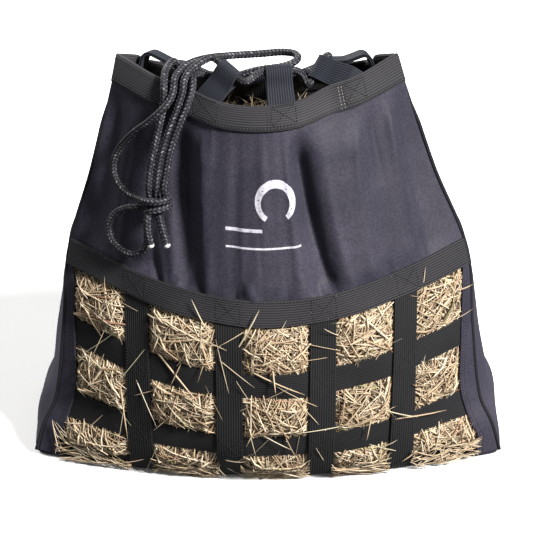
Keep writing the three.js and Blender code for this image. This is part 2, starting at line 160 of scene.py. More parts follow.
def section_at(v):
    """The cross-section at each cloth height: a smooth curve through the sections."""
    v = np.clip(np.asarray(v, float), 0, WALL_HEIGHT)
    i = np.clip(np.searchsorted(SECTIONS[:, 0], v, side="right") - 1, 0, len(SECTIONS) - 2)
    low, high = SECTIONS[i], SECTIONS[i + 1]
    span = (high[..., :1] - low[..., :1])
    t = (v[..., None] - low[..., :1]) / span
    return ((2 * t**3 - 3 * t**2 + 1) * low + (t**3 - 2 * t**2 + t) * span * SLOPES[i]
            + (3 * t**2 - 2 * t**3) * high + (t**3 - t**2) * span * SLOPES[i + 1])


def arc_stretch(half, bulge):
    """How much more of a bowed wall's arc lies near its corners than in its middle."""
    return 0.62 * (bulge / half) ** 2


def spread(q, half, bulge):
    """The share of a bowed wall's width at a place q along its arc, from -1 to 1."""
    return q + arc_stretch(half, bulge) * (q - q**3)


def unspread(share, half, bulge):
    """The place along the arc for a share of the width: spread, the other way."""
    k = arc_stretch(half, bulge)
    q = share
    for _ in range(6):
        q = (share + k * q**3) / (1 + k)
    return q


def smooth_step(low, high, x):
    t = np.clip((np.asarray(x, float) - low) / (high - low), 0, 1)
    return t * t * (3 - 2 * t)


def fold_at(q, v):
    """How far two broad folds draw the front in, most of all at the rim."""
    rise = np.clip((v - FOLD_START) / (WALL_HEIGHT - FOLD_START), 0, 1)
    ridges = sum(np.exp(-(((q - m) / FOLD_WIDTH) ** 2)) for m in (-FOLD_AT, FOLD_AT))
    return FOLD_DEPTH * rise * rise * ridges


def lumps(a, b, seed):
    """Soft, broad unevenness, from the hay behind the cloth."""
    return (1.5 * np.sin(a / 31 + 1.3 * seed) * np.cos(b / 27 + seed)
            + 1.9 * np.sin(a / 57 - b / 74 + 2.1 * seed)
            + 1.1 * np.cos(a / 19 + b / 43 + seed))


def filled(q, v, low=60, top=(420, 560)):
    """How much of the hay's unevenness shows: none at the seams, the floor or the mouth."""
    return (1 - q**4) * (1 - smooth_step(*top, v)) * smooth_step(0, low, v)


def bowed_wall(q, v, side, facing, fold, lumpy, seed):
    """A point of the front, which faces -1, or of the back, which faces 1."""
    s = section_at(v)
    z, half, y, bulge, sag = np.moveaxis(s[..., side], -1, 0)
    share = spread(q, half, bulge)
    depth = bulge * (1 - share**2) - fold + lumpy * lumps(half * q, v, seed)
    return np.stack([s[..., LEAN] - facing * half * share, y + facing * depth,
                     z - sag * (1 - q**2) ** 2], -1)


def front_wall(q, v):
    q, v = together(q, v)
    return bowed_wall(q, v, FRONT, -1, fold_at(q, v), filled(q, v, 40, (300, 360)), 0.0)


def back_wall(q, v):
    q, v = together(q, v)
    return bowed_wall(q, v, BACK, 1, 0, 2.0 * filled(q, v), 2.0)


def side_wall(sign):
    def wall(q, v):
        q, v = together(q, v)
        s = section_at(v)
        t = (1 + q * sign) / 2
        edges = s[..., FRONT] + (s[..., BACK] - s[..., FRONT]) * t[..., None]
        x = (edges[..., HALF] + s[..., SIDE_BULGE] * 4 * t * (1 - t)
             + filled(q, v) * lumps(100 * q, v, 4.0 + sign))
        return np.stack([s[..., LEAN] + sign * x, edges[..., Y], edges[..., Z]], -1)
    return wall


right_wall = side_wall(1)
left_wall = side_wall(-1)


def reach(wall, v):
    """Half the length of a wall's arc at cloth height v."""
    s = section_at(v)
    if wall in (front_wall, back_wall):
        _, half, _, bulge, _ = np.moveaxis(s[..., FRONT if wall is front_wall else BACK], -1, 0)
        return half * (1 + (2 / 3) * (bulge / half) ** 2)
    across = s[..., BACK] - s[..., FRONT]
    return np.hypot(across[..., Y], across[..., Z]) / 2


def unit(a):
    return a / np.maximum(np.linalg.norm(a, axis=-1, keepdims=True), 1e-9)


def lengths_along(line):
    """How far along a line of points each of them is."""
    return np.concatenate([[0], np.cumsum(np.linalg.norm(np.diff(line, axis=0), axis=1))])


def along_line(at, length, line):
    """The places on a line of points at some lengths along it."""
    return np.stack([np.interp(at, length, column) for column in line.T], -1)


def directions(wall, q, v):
    """Along a wall, up it and out of it, as three unit vectors."""
    across = unit(wall(q + 0.001, v) - wall(q - 0.001, v))
    up = unit(wall(q, np.minimum(v + 1, WALL_HEIGHT)) - wall(q, np.maximum(v - 1, 0)))
    return across, up, unit(np.cross(across, up))


def on_wall(wall, q, v, out):
    """A point of a wall, moved outward. q is kept back from the corner seams."""
    q, v, out = together(q, v, out)
    kept = q * (1 - SEAM_MARGIN / reach(wall, v))
    return wall(kept, v) + directions(wall, kept, v)[2] * out[..., None]


def off_wall(wall, q, v, out):
    """A point of a wall, moved outward. At the corner seams it stays on the seam's own line."""
    return wall(q, v) + directions(wall, q * 0.995, v)[2] * out[..., None]


def front_q(x, v):
    """Where x lies on the front, as a share of half its arc."""
    s = section_at(v)
    half, bulge = s[..., FRONT][..., HALF], s[..., FRONT][..., BULGE]
    return unspread((x - s[..., LEAN]) / half, half, bulge)


# ---- making meshes ----

def make_mesh(name, points, faces, material, uv=None, tint=None, smooth=True):
    """A mesh piece. points, and uv and tint with one value for each, are in millimetres."""
    faces = np.asarray(faces, np.int32)
    sides = faces.shape[1]
    mesh = bpy.data.meshes.new(name)
    mesh.vertices.add(points.size // 3)
    mesh.vertices.foreach_set("co", (points * MM).astype(np.float32).ravel())
    mesh.loops.add(faces.size)
    mesh.loops.foreach_set("vertex_index", faces.ravel())
    mesh.polygons.add(len(faces))
    mesh.polygons.foreach_set("loop_start", np.arange(0, faces.size, sides, dtype=np.int32))
    mesh.update(calc_edges=True)
    if uv is not None:
        layer = mesh.uv_layers.new(name="UVMap")
        flat = (uv.reshape(-1, 2) * MM).astype(np.float32)
        layer.data.foreach_set("uv", flat[faces.ravel()].ravel())
    if tint is not None:
        layer = mesh.attributes.new("tint", "FLOAT", "POINT")
        layer.data.foreach_set("value", np.asarray(tint, np.float32))
    if smooth:
        mesh.shade_smooth()
    mesh.materials.append(material)
    return add_object(name, mesh)


def grid_faces(rows, columns, closed=False):
    """Quads of a grid of points. closed joins the last column to the first."""
    r = np.arange(rows - 1)[:, None]
    c = np.arange(columns if closed else columns - 1)[None, :]
    after = (c + 1) % columns
    quads = [r * columns + c, r * columns + after, (r + 1) * columns + after,
             (r + 1) * columns + c]
    return np.stack([np.broadcast_to(q, (rows - 1, c.size)) for q in quads], -1).reshape(-1, 4)


def fans(rows, columns, closed=True):
    """The faces that fill a grid's first and last rows, each round one more point."""
    j = np.arange(0, columns if closed else columns - 2, 2)
    after = (j + 2) % columns
    hub, last = rows * columns, (rows - 1) * columns
    return [np.stack([np.full(len(j), hub), after, j + 1, j], -1),
            np.stack([np.full(len(j), hub + 1), last + j, last + j + 1, last + after], -1)]


def settle(piece, slot, *nodes, body=BAG):
    """Puts a finished piece on its body, in place of the CAD nodes it stands for."""
    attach(piece, body)
    if nodes:
        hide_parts(*nodes)
    return piece


def thicken(piece):
    thick = piece.modifiers.new("thickness", "SOLIDIFY")
    thick.thickness = CLOTH_THICK * MM
    thick.offset = 0


def cloth_piece(name, points, material, node, size):
    """A panel from a grid of points, with the cloth's own thickness."""
    rows, columns = points.shape[:2]
    uv = np.stack(np.meshgrid(np.linspace(0, size[0], columns),
                              np.linspace(0, size[1], rows)), -1)
    piece = make_mesh(name, points, grid_faces(rows, columns), material, uv)
    thicken(piece)
    return settle(piece, "cloth", node)


def rib_height(across):
    """The ribs that run along webbing, from a place across it in millimetres."""
    return RIB_DEPTH * np.abs(np.cos(np.pi * across * RIBS / WEBBING))


def ribbon(name, place, length, material, node, width=WEBBING, step=5.0, body=BAG):
    """A length of webbing. place(along 0 to 1, across in mm, out) gives points in mm."""
    stations = max(3, int(length / step) + 1)
    face = np.linspace(-width / 2, width / 2, int(RIBS * 4 * width / WEBBING) + 1)
    across = np.concatenate([face, face[::-1]])
    count = len(across)
    edges = np.abs(face) < width / 2 - 0.1
    out = np.concatenate([WEBBING_THICK + edges * rib_height(face), np.zeros(len(face))])
    along, across_grid = np.meshgrid(np.linspace(0, 1, stations), across, indexing="ij")
    points = place(along, across_grid, np.broadcast_to(out, along.shape))
    uv = np.stack([along * length, across_grid], -1)
    j = np.arange(len(face) - 1)
    start = np.stack([j, j + 1, count - 2 - j, count - 1 - j], -1)
    end = start[:, ::-1] + (stations - 1) * count
    faces = np.concatenate([grid_faces(stations, count, closed=True), start, end])
    return settle(make_mesh(name, points, faces, material, uv), "webbing", node, body=body)


# ---- materials ----

def srgb(r, g, b):
    """A colour as it looks on a screen, 0 to 255, as the linear colour that Blender uses."""
    channels = [c / 255 for c in (r, g, b)]
    linear = [c / 12.92 if c < 0.04045 else ((c + 0.055) / 1.055) ** 2.4 for c in channels]
    return (*linear, 1.0)


class Look:
    """A procedural material, built up socket by socket."""

    def __init__(self, name):
        self.material = bpy.data.materials.new(name)
        self.material.use_nodes = True
        self.nodes = self.material.node_tree.nodes
        self.links = self.material.node_tree.links
        self.shader = self.nodes["Principled BSDF"]

    def feed(self, socket, value):
        """Gives a socket a constant, or links it to another node's output."""
        if isinstance(value, bpy.types.NodeSocket):
            self.links.new(value, socket)
        else:
            socket.default_value = value

    def node(self, kind, inputs=(), **settings):
        made = self.nodes.new("ShaderNode" + kind)
        for key, value in settings.items():
            setattr(made, key, value)
        for key, value in dict(inputs).items():
            self.feed(made.inputs[key], value)
        return made

    def math(self, operation, a, b):
        return self.node("Math", {0: a, 1: b}, operation=operation).outputs[0]

    def times(self, a, b):
        return self.math("MULTIPLY", a, b)

    def uv(self, scale=(1, 1, 1)):
        source = self.node("UVMap", uv_map="UVMap").outputs[0]
        return self.node("Mapping", {"Vector": source, "Scale": scale}).outputs[0]

    def place(self, scale=(1, 1, 1)):
        source = self.node("TexCoord").outputs["Object"]
        return self.node("Mapping", {"Vector": source, "Scale": scale}).outputs[0]

    def noise(self, where, scale, detail=3.0, roughness=0.55):
        return self.node("TexNoise", {"Vector": where, "Scale": scale, "Detail": detail,
                                      "Roughness": roughness}).outputs[0]

    def wave(self, where, scale, axis="X", distortion=0.0):
        return self.node("TexWave", {"Vector": where, "Scale": scale,
                                     "Distortion": distortion}, bands_direction=axis).outputs[1]

    def ramp(self, value, *stops):
        made = self.node("ValToRGB", {"Fac": value})
        ramp = made.color_ramp
        while len(ramp.elements) < len(stops):
            ramp.elements.new(0.5)
        for element, (at, colour) in zip(ramp.elements, stops):
            element.position = at
            element.color = colour
        return made.outputs[0]

    def mask(self, value, low, high):
        """Black up to low and white from high on."""
        return self.ramp(value, (low, (0, 0, 0, 1)), (high, (1, 1, 1, 1)))

    def mix(self, share, a, b):
        return self.node("Mix", {0: share, 6: a, 7: b}, data_type="RGBA").outputs[2]

    def spread(self, value, low, high):
        return self.node("MapRange", {0: value, 3: low, 4: high}).outputs[0]

    def finish(self, colour, rough, height, strength, distance, **more):
        """Sets the colour, a roughness that follows a value between two limits, and a bump."""
        bump = self.node("Bump", {"Height": height, "Strength": strength, "Distance": distance})
        return self.set(Base_Color=colour, Roughness=self.spread(*rough),
                        Normal=bump.outputs[0], **more)

    def set(self, **values):
        for key, value in values.items():
            self.feed(self.shader.inputs[key.replace("_", " ")], value)
        return self.material


def cloth_look():
    """Dense polyester: charcoal with a navy and purple cast, a fine plain weave and dust."""
    look = Look("cloth")
    place, uv = look.place(), look.uv()
    broad = look.noise(place, 9.0, 4.0)
    base = look.ramp(broad, (0.34, srgb(44, 43, 54)), (0.52, srgb(54, 52, 63)),
                     (0.70, srgb(64, 61, 73)))
    dust = look.mask(look.noise(place, 420.0, 2.0), 0.66, 0.78)
    colour = look.mix(look.times(dust, 0.12), base, srgb(120, 114, 124))
    weave = look.times(look.wave(uv, 190.0, "X"), look.wave(uv, 190.0, "Y"))
    colour = look.mix(look.times(weave, 0.22), colour, srgb(74, 70, 82))
    slubs = look.noise(place, 330.0, 4.0, 0.7)
    grain = look.times(look.mask(slubs, 0.36, 0.66), 0.62)
    colour = look.mix(grain, colour, srgb(26, 24, 31))
    creases = look.noise(place, 30.0, 4.0)
    height = look.math("ADD", look.times(slubs, 0.30), look.times(creases, 0.9))
    return look.finish(colour, (broad, 0.50, 0.66), height, 0.40, 0.0020, Sheen_Weight=0.07,
                       Sheen_Roughness=0.35, Sheen_Tint=srgb(206, 196, 226),
                       Specular_IOR_Level=0.14)


def webbing_look(name, dark, light, highlight_colour, sheen):
    """Ribbed polypropylene webbing: the yarns along the ribs painted lighter as a highlight, gaps
    between them.
    """
    look = Look(name)
    uv = look.uv()
    yarns = look.math("SUBTRACT", 1.0, look.wave(uv, math.pi / 10 / (WEBBING / RIBS * MM), "Y"))
    weft = look.spread(look.wave(uv, 150.0, "X", 0.4), 0.55, 1.0)
    broken = look.noise(look.uv((900, 500, 1)), 1.0, 2.0)
    rib_highlight = look.times(look.times(yarns, broken), look.times(weft, 1.8))
    base = look.ramp(look.noise(look.place(), 14.0), (0.35, dark), (0.70, light))
    # The yarns on the ribs are mixed towards the third colour: a painted highlight along the ribs.
    colour = look.mix(look.times(rib_highlight, 0.6), base, highlight_colour)
    height = look.math("ADD", look.times(yarns, 0.45), look.times(broken, 0.5))
    return look.finish(colour, (broken, 0.50, 0.78), height, 0.55, 0.0007,
                       Sheen_Weight=sheen, Sheen_Roughness=0.5, Specular_IOR_Level=0.12)


def piping_look():
    look = Look("piping")
    twill = look.wave(look.uv(), 260.0, "DIAGONAL")
    colour = look.mix(twill, srgb(13, 13, 16), srgb(32, 31, 37))
    return look.finish(colour, (twill, 0.6, 0.8), twill, 0.4, 0.0005, Sheen_Weight=0.05,
                       Specular_IOR_Level=0.15)


def cord_look():
    """Black braid with pale flecks: each scale of the braid has its own shade, darkened at its edges
    as painted shade.
    """
    look = Look("braided_cord")
    shade = look.node("Attribute", attribute_name="tint").outputs["Fac"]
    fibre = look.noise(look.uv((2200, 260, 1)), 1.0, 2.0)
    # Low tint, near black, is the painted shade in the grooves between the scales.
    base = look.ramp(shade, (0.0, srgb(2, 2, 3)), (0.34, srgb(20, 20, 24)),
                     (0.62, srgb(66, 66, 72)), (1.0, srgb(150, 150, 154)))
    colour = look.mix(look.times(fibre, 0.10), base, srgb(88, 88, 94))
    return look.finish(colour, (fibre, 0.45, 0.68), fibre, 0.4, 0.0004,
                       Specular_IOR_Level=0.15)


def tip_look():
    look = Look("melted_tip")
    blotch = look.noise(look.place(), 500.0)
    colour = look.ramp(blotch, (0.35, srgb(150, 148, 146)), (0.62, srgb(232, 231, 228)))
    return look.finish(colour, (blotch, 0.25, 0.45), blotch, 0.5, 0.0006)


def thread_look(name, colour):
    look = Look(name)
    twist = look.noise(look.place(), 1500.0)
    shade = look.mix(twist, colour, tuple(c * 0.5 for c in colour[:3]) + (1.0,))
    return look.set(Base_Color=shade, Roughness=look.spread(twist, 0.4, 0.65))


def print_look():
    """White ink, slightly worn."""
    look = Look("print")
    worn = look.noise(look.place(), 260.0, 4.0)
    colour = look.ramp(worn, (0.28, srgb(110, 106, 118)), (0.40, srgb(168, 165, 176)),
                       (0.70, srgb(192, 190, 200)))
    return look.finish(colour, (worn, 0.5, 0.7), worn, 0.2, 0.0004)


def hay_look(name, painted_shade):
    """Dry stalks: tint picks each one's shade, with streaks along and darker joints; a copy can be
    darkened all over as painted shade.
    """
    look = Look(name)
    tint = look.node("Attribute", attribute_name="tint").outputs["Fac"]
    shade = look.ramp(
        tint, (0.0, srgb(66, 48, 36)), (0.16, srgb(114, 91, 68)), (0.36, srgb(162, 140, 112)),
        (0.58, srgb(186, 166, 138)), (0.78, srgb(200, 184, 157)), (0.92, srgb(212, 200, 178)),
        (0.95, srgb(140, 142, 92)), (1.0, srgb(158, 106, 90)))
    streak = look.noise(look.place((1, 1, 1)), 300.0, 3.0)
    colour = look.mix(look.spread(streak, 0.0, 0.34), shade, srgb(122, 97, 74))
    # The second argument mixes the whole look towards dark brown: painted shade for stalks deep in
    # the heap.
    colour = look.mix(painted_shade, colour, srgb(24, 17, 11))
    return look.finish(colour, (streak, 0.5, 0.8), streak, 0.3, 0.0005,
                       Specular_IOR_Level=0.35)


# ---- tubes and cords ----

def route(points, step):
    """A smooth curve through the points, as points one step apart."""
    p = np.asarray(points, float)
    p = np.concatenate([[2 * p[0] - p[1]], p, [2 * p[-1] - p[-2]]])
    knots = np.concatenate([[0], np.cumsum(np.sqrt(np.linalg.norm(np.diff(p, axis=0), axis=1)))])
    made = []
    for i in range(1, len(p) - 2):
        t = np.linspace(knots[i], knots[i + 1], 24, endpoint=False)[:, None]

        def between(a, b, low, high):
            return a + (b - a) * (t - knots[low]) / (knots[high] - knots[low])

        first = [between(p[i - 1 + j], p[i + j], i - 1 + j, i + j) for j in range(3)]
        second = [between(first[j], first[j + 1], i - 1 + j, i + 1 + j) for j in range(2)]
        made.append(between(second[0], second[1], i, i + 1))
    fine = np.concatenate([*made, p[-2:-1]])
    length = lengths_along(fine)
    at = np.linspace(0, length[-1], max(3, int(length[-1] / step) + 1))
    return along_line(at, length, fine)


def eased(points, span):
    """A curve's points with its sharp bends rounded over span points, and its ends kept."""
    weight = np.hanning(2 * span + 3)[1:-1]
    before = 2 * points[0] - points[span:0:-1]
    after = 2 * points[-1] - points[-2:-span - 2:-1]
    padded = np.concatenate([before, points, after])
    return np.stack([np.convolve(padded[:, k], weight / weight.sum(), "valid")
                     for k in range(3)], -1)


def frames_along(points):
    """Two directions square to a curve at each of its points, without twist."""
    tangent = unit(np.gradient(points, axis=0))
    side = np.cross(tangent[0], [0.3, 0.2, 1.0])
    sides = []
    for t in tangent:
        side = side - t * np.dot(side, t)
        side = side / np.linalg.norm(side)
        sides.append(side)
    sides = np.array(sides)
    return sides, np.cross(tangent, sides)


def tube(name, points, radius, material, sides=12, tint=None):
    """A tube round a curve. radius is one number, or one for each point and side."""
    first, second = frames_along(points)
    turn = np.arange(sides) * 2 * np.pi / sides
    r = np.broadcast_to(radius, (len(points), sides))[..., None]
    ring = (np.cos(turn)[None, :, None] * first[:, None] + np.sin(turn)[None, :, None]
            * second[:, None])
    skin = points[:, None] + ring * r
    length = lengths_along(points)
    around = np.broadcast_to(turn * np.max(radius), (len(points), sides))
    uv = np.stack([np.broadcast_to(length[:, None], around.shape), around], -1)
    uv = np.concatenate([uv.reshape(-1, 2), [[0, 0], [length[-1], 0]]])
    faces = [grid_faces(len(points), sides, closed=True), *fans(len(points), sides)]
    shade = None if tint is None else np.concatenate([tint.ravel(), [0.2, 0.2]])
    return make_mesh(name, np.concatenate([skin.reshape(-1, 3), points[[0, -1]]]),
                     np.concatenate(faces), material, uv, shade)


def braid(name, points, material):
    """Braided cord: six columns of scales, each pair slanting towards the other."""
    columns, sides, scale = 6, 30, 4.8
    along = np.arange(len(points))[:, None] * np.linalg.norm(points[1] - points[0])
    around = np.arange(sides)[None, :] * columns / sides
    column = np.floor(around).astype(int)
    across = around - column
    slant = np.where(column % 2 == 0, across, 1 - across)
    place = along / scale + slant * 0.7 + (column // 2 % 2) * 0.5
    index = np.floor(place).astype(int)
    inside = place - index
    height = np.sqrt(np.clip(1 - (2 * inside - 1) ** 2, 0, 1))
    height = height * (0.60 + 0.40 * np.sin(np.pi * (across + 0.1)))
    rows = 4096
    shades = np.random.default_rng(len(points)).beta(1.3, 2.6, (rows, columns))
    fleck = shades[index % rows, column]
    # Each scale's own fleck, darkened towards the scale's edges as painted shade in the grooves
    # between scales.
    tint = np.clip((0.58 + 0.45 * fleck) * height**2, 0, 1)
    radius = CORD_DIAMETER / 2 * (0.94 + 0.24 * height)
    return tube(name, points, radius, material, sides, tint)


def over_rim(x):
    """Two points of a cord on its way down over the rim, on either side of the swing axis."""
    y, z = SWING_AXIS
    return [[x, y + side * SWING_CLEARANCE * math.cos(SWING_SLOPE),
             z + side * SWING_CLEARANCE * math.sin(SWING_SLOPE)] for side in (1, -1)]


# Each tab: its wall and place along it, its lean along the rim and its fold inward in degrees,
# how far its cord lies from the rim's edge, and how far inside the wall it is sewn.
Tab = namedtuple("Tab", "wall q lean tilt rise inset")
TABS = [
    Tab(front_wall, -0.3, 40, 8, 45, TAB_INSET),
    Tab(front_wall, 0.15, 0, 4, 48, TAB_INSET),
    Tab(front_wall, 0.6, -50, 38, 50, 2.5 * TAB_INSET),
    Tab(right_wall, 0.12, 0, 88, 60, TAB_INSET),
    Tab(back_wall, 0.0, 0, 40, 46, TAB_INSET),
    Tab(left_wall, 0.0, 0, 98, 68, TAB_INSET),
]


def tab_point(tab, out, up, along):
    """A point of a tab: out of the bag, up its length from the rim, and along its cord."""
    out, up, along = together(out, up, along)
    _, rising, outer = directions(tab.wall, tab.q, WALL_HEIGHT)
    turn = -math.radians(tab.lean)
    upright = rising * math.cos(turn) + np.cross(outer, rising) * math.sin(turn)
    cord_way = np.cross(outer, upright)
    bent = np.clip(up / TAB_FOLD_RADIUS, 0, math.radians(tab.tilt))
    straight = up - bent * TAB_FOLD_RADIUS
    outward = (out * np.cos(bent) - straight * np.sin(bent)
               - TAB_FOLD_RADIUS * (1 - np.cos(bent)) - tab.inset - WEBBING_THICK)
    upward = out * np.sin(bent) + straight * np.cos(bent) + TAB_FOLD_RADIUS * np.sin(bent)
    return (tab.wall(tab.q, WALL_HEIGHT) + outward[..., None] * outer + upward[..., None] * upright
            + along[..., None] * cord_way)


def held_route():
    """The cord in the tabs, from the left tab round the back to the front left tab."""
    far = WEBBING / 2 + TAB_LEAD
    points = []
    for tab in reversed(TABS):
        inside = [tab_point(tab, 0, tab.rise, z) for z in (-far, -far / 2, far / 2, far)]
        if points:
            points.append((points[-1] + inside[0]) / 2 - [0, 0, HELD_SAG])
        points += inside
    return points


CORD_STEP = 1.2
HELD_EASING = 22  # points over which the held cord's bends are rounded, and the free cord's
FREE_EASING = 8

# The free stretches of the cord, as in the CAD source.
FROM_LEFT_TAB = [[-128, -2, 592], [-138, -24, 590]]
FALL_1 = [[-141, -60, 553], [-147, -74, 526], [-155, -87, 494], [-160, -96, 468],
          [-162, -104, 449]]
END_LEFT = [[-163, -119, 415], [-164, -125, 400], [-160, -131, 378]]
FROM_FRONT_TAB = [[-105, -31, 591]]
FALL_2 = [[-122, -66, 551], [-134, -79, 523], [-144, -90, 494], [-149, -99, 468],
          [-151, -106, 450.5]]
FALL_3 = [[-108, -67, 556], [-122, -81, 526], [-133, -93, 494], [-138, -102, 468],
          [-141, -109, 449]]
BIGHT = [[-101, -30, 583], [-97, -17, 580], [-78, -14, 574], [-50, -14, 574],
         [-14, -14, 584], [24, -13, 590], [40, -3, 594], [38, 16, 594], [20, 27, 592],
         [-10, 28, 589], [-50, 20, 590], [-86, 2, 594], [-110, -14, 592], [-123, -29, 585]]
LOOP = [[-133, -66, 561], [-143, -74, 552], [-159, -73, 536], [-184, -59, 510],
        [-203, -50, 484], [-212, -50, 463], [-211, -58, 444], [-199, -74, 431],
        [-184, -88, 428], [-176, -97, 430]]
LOWER_LOOP = [[-175, -104, 422], [-190, -92, 414], [-209, -82, 400], [-220, -82, 381],
              [-216, -92, 362], [-200, -106, 353], [-182, -116, 353], [-168, -118, 364],
              [-165, -115, 380], [-166, -111, 396], [-166, -109, 411]]
END_RIGHT = [[-148, -114, 411.5], [-145, -118, 398], [-138, -128, 376]]

# The way through the overhand knot: two turns go round the falls, and the rest pass inside.
KNOT_INNER = [[-160, -103, 438], [-158, -106, 426]]
KNOT_BIGHT = [[-153, -103, 438], [-152, -100, 426], [-145, -99, 421], [-139, -103, 428],
              [-139, -107, 439]]
KNOT_UPPER_TURN = [[-167, -112, 434], [-154, -121, 437], [-141, -117, 437],
                   [-135, -106, 434], [-141, -95, 430], [-155, -90, 427], [-169, -95, 425]]
KNOT_LOWER_TURN = [[-162, -117, 421], [-150, -121, 425], [-138, -115, 426],
                   [-134, -104, 422], [-141, -97, 417], [-149, -103, 413]]


def lead_out(end, before):
    """Two points that carry a route straight on from its end."""
    return [end + unit(end - before) * far for far in (0.5, 6)]


def add_cords(look, tip):
    held = held_route()
    settle(braid("held_cord", eased(route(held, CORD_STEP), HELD_EASING), look), "cord",
           "drawcord_rim")
    first = [*lead_out(held[0], held[1]), *FROM_LEFT_TAB, *over_rim(-140), *FALL_1,
             *KNOT_INNER, *END_LEFT]
    second = [*lead_out(held[-1], held[-2]), *FROM_FRONT_TAB, *over_rim(-114), *FALL_2,
              *KNOT_BIGHT, *reversed(FALL_3), *reversed(over_rim(-101)), *BIGHT,
              *over_rim(-127), *LOOP, *KNOT_UPPER_TURN, *LOWER_LOOP, *KNOT_LOWER_TURN,
              *END_RIGHT]
    add_free_cord("left_cord", first, look, tip, "left", [
        "drawcord_from_left_tab", "drawcord_fall_1", "drawcord_end_left"])
    add_free_cord("front_cord", second, look, tip, "right", [
        "drawcord_from_front_tab", "drawcord_fall_2", "drawcord_fall_3", "drawcord_bight",
        "drawcord_loop", "drawcord_lower_loop", "drawcord_end_right", "drawcord_knot"])


TIP_AT = np.array([-0.4, 1.2, 2.6, 3.9, 4.9, 5.3])
TIP_RADII = np.array([4.5, 4.7, 4.5, 3.9, 2.6, 1.2])


def add_free_cord(name, points, look, tip, side, nodes):
    """A free length of the cord, with its melted tip, hanging over the rim."""
    line = eased(route(points, CORD_STEP), FREE_EASING)
    piece = braid(name, line, look)
    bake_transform(piece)
    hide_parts(*nodes)
    away = unit(line[-1] - line[-4])
    spots = line[-1] + away * TIP_AT[:, None]
    dents = 1 + 0.06 * np.sin(3 * np.arange(12))
    melted = tube(f"{name}_tip", spots, TIP_RADII[:, None] * dents, tip)
    settle(melted, "cord_tip", f"drawcord_tip_{side}", body=TAIL)


# ---- cloth ----

UPPER_LOW = 296.0
UPPER_ROWS = 66
ROW_HEIGHT = 4.7
# Each panel: its wall, how many columns of cloth it has, its side's name and its CAD node.
PANELS = [(front_wall, 116, "front", "front_panel"),
          (right_wall, 26, "right", "side_panel_right"),
          (back_wall, 64, "back", "back_panel"),
          (left_wall, 26, "left", "side_panel_left")]
SEAMS = np.cumsum([0] + [steps for _, steps, *_ in PANELS])
SLACK = 1.02
CLOTH_SETTINGS = {"quality": 6, "mass": 0.25, "tension_stiffness": 25,
                  "compression_stiffness": 25, "shear_stiffness": 8,
                  "bending_stiffness": 1.6, "air_damping": 2, "vertex_group_mass": "held"}
CLOTH_FRAMES = 30
SETTLING = 0.3  # how far the cloth goes from its drawn folds to its simulated ones
MOST_OUT = 16.0  # the farthest that it may move outward
MOST_OUT_AT_CORD = 1.5  # the same, behind the hanging cord
MOST_IN = 20.0

# How the front's upper cloth hangs: crests and valleys from the left seam to the right one, as
# (place along the front, mm outward), at three cloth heights.
DRAPE_AT = [345.0, 450.0, 545.0]
DRAPE = np.array([
    [(-1.0, 0), (-0.90, -6), (-0.72, 0), (-0.56, -11), (-0.43, 0), (-0.36, -9), (-0.25, 7),
     (-0.17, 2), (-0.05, 8), (0.14, 5), (0.285, -21), (0.375, 7), (0.47, 12), (0.56, 2), (0.64, 7),
     (0.80, -7), (1.0, 0)],
    [(-1.0, 0), (-0.91, -10), (-0.74, 1), (-0.58, -7), (-0.50, -9), (-0.42, -19), (-0.27, 12),
     (-0.14, 5), (0.0, 13), (0.13, 7), (0.255, -26), (0.355, 10), (0.495, 15), (0.61, 5), (0.72, 10),
     (0.86, -7), (1.0, 0)],
    [(-1.0, 0), (-0.90, -9), (-0.79, 1), (-0.64, -7), (-0.56, -10), (-0.46, -14), (-0.30, 10),
     (-0.11, 2), (0.04, 8), (0.13, 3), (0.225, -24), (0.34, 9), (0.53, 14), (0.68, -7), (0.80, 8),
     (0.90, -5), (1.0, 0)],
], float)


def drape_out(q, v):
    """How far the front's cloth stands out of its wall, from the table above."""
    q, v = together(q, v)
    row = np.interp(v, DRAPE_AT, [0, 1, 2])
    low = np.clip(np.floor(row).astype(int), 0, 1)
    share = (row - low)[..., None, None]
    table = (1 - share) * DRAPE[low] + share * DRAPE[low + 1]
    out = np.zeros(q.shape)
    for j in range(DRAPE.shape[1] - 1):
        (q0, out0), (q1, out1) = (np.moveaxis(table[..., k, :], -1, 0) for k in (j, j + 1))
        share = smooth_step(0, 1, (q - q0) / (q1 - q0))
        out = np.where((q >= q0) & (q <= q1), out0 + (out1 - out0) * share, out)
    return out * smooth_step(312, 350, v) * (1 - smooth_step(512, BINDING_LOW, v))


# The short creases just above the band: place along the front, slant, width and depth in mm.
GATHERS = [(-0.66, 0.03, 8, -3.0), (-0.50, -0.04, 7, -3.5), (-0.40, 0.05, 6, 2.5),
           (-0.30, -0.02, 7, -2.5), (-0.14, 0.04, 7, -3.5), (-0.06, -0.05, 9, 2.5),
           (0.08, 0.03, 7, -2.5), (0.24, -0.03, 8, -3.5), (0.38, 0.02, 7, 2.0),
           (0.55, 0.04, 8, -2.5), (0.71, -0.03, 8, 2.0)]


def gathers(q, v):
    """How far the cloth stands out in the short creases where it is sewn to the band."""
    out = 0
    for at, slant, wide, deep in GATHERS:
        away = (q - at - slant * (v - 330) / 30) * 300 / wide
        out = out + deep * np.exp(-away**2)
    return out * smooth_step(314, 324, v) * (1 - smooth_step(332, 372, v))


def hang(wall, q, v):
    """How far the upper cloth stands out of a wall where it hangs in soft folds."""
    if wall is front_wall:
        return drape_out(q, v) + 1.3 * gathers(q, v)
    seed = {right_wall: 1.0, back_wall: 2.0, left_wall: 3.0}[wall]
    wide = reach(wall, v) * q
    waves = (3.6 * np.sin(wide / 27 + seed + v / 150) * np.cos(wide / 90 + v / 120)
             + 2.0 * np.sin(wide / 12 - seed + v / 60))
    return waves * (1 - q**6) * smooth_step(318, 400, v) * (1 - smooth_step(500, 566, v))


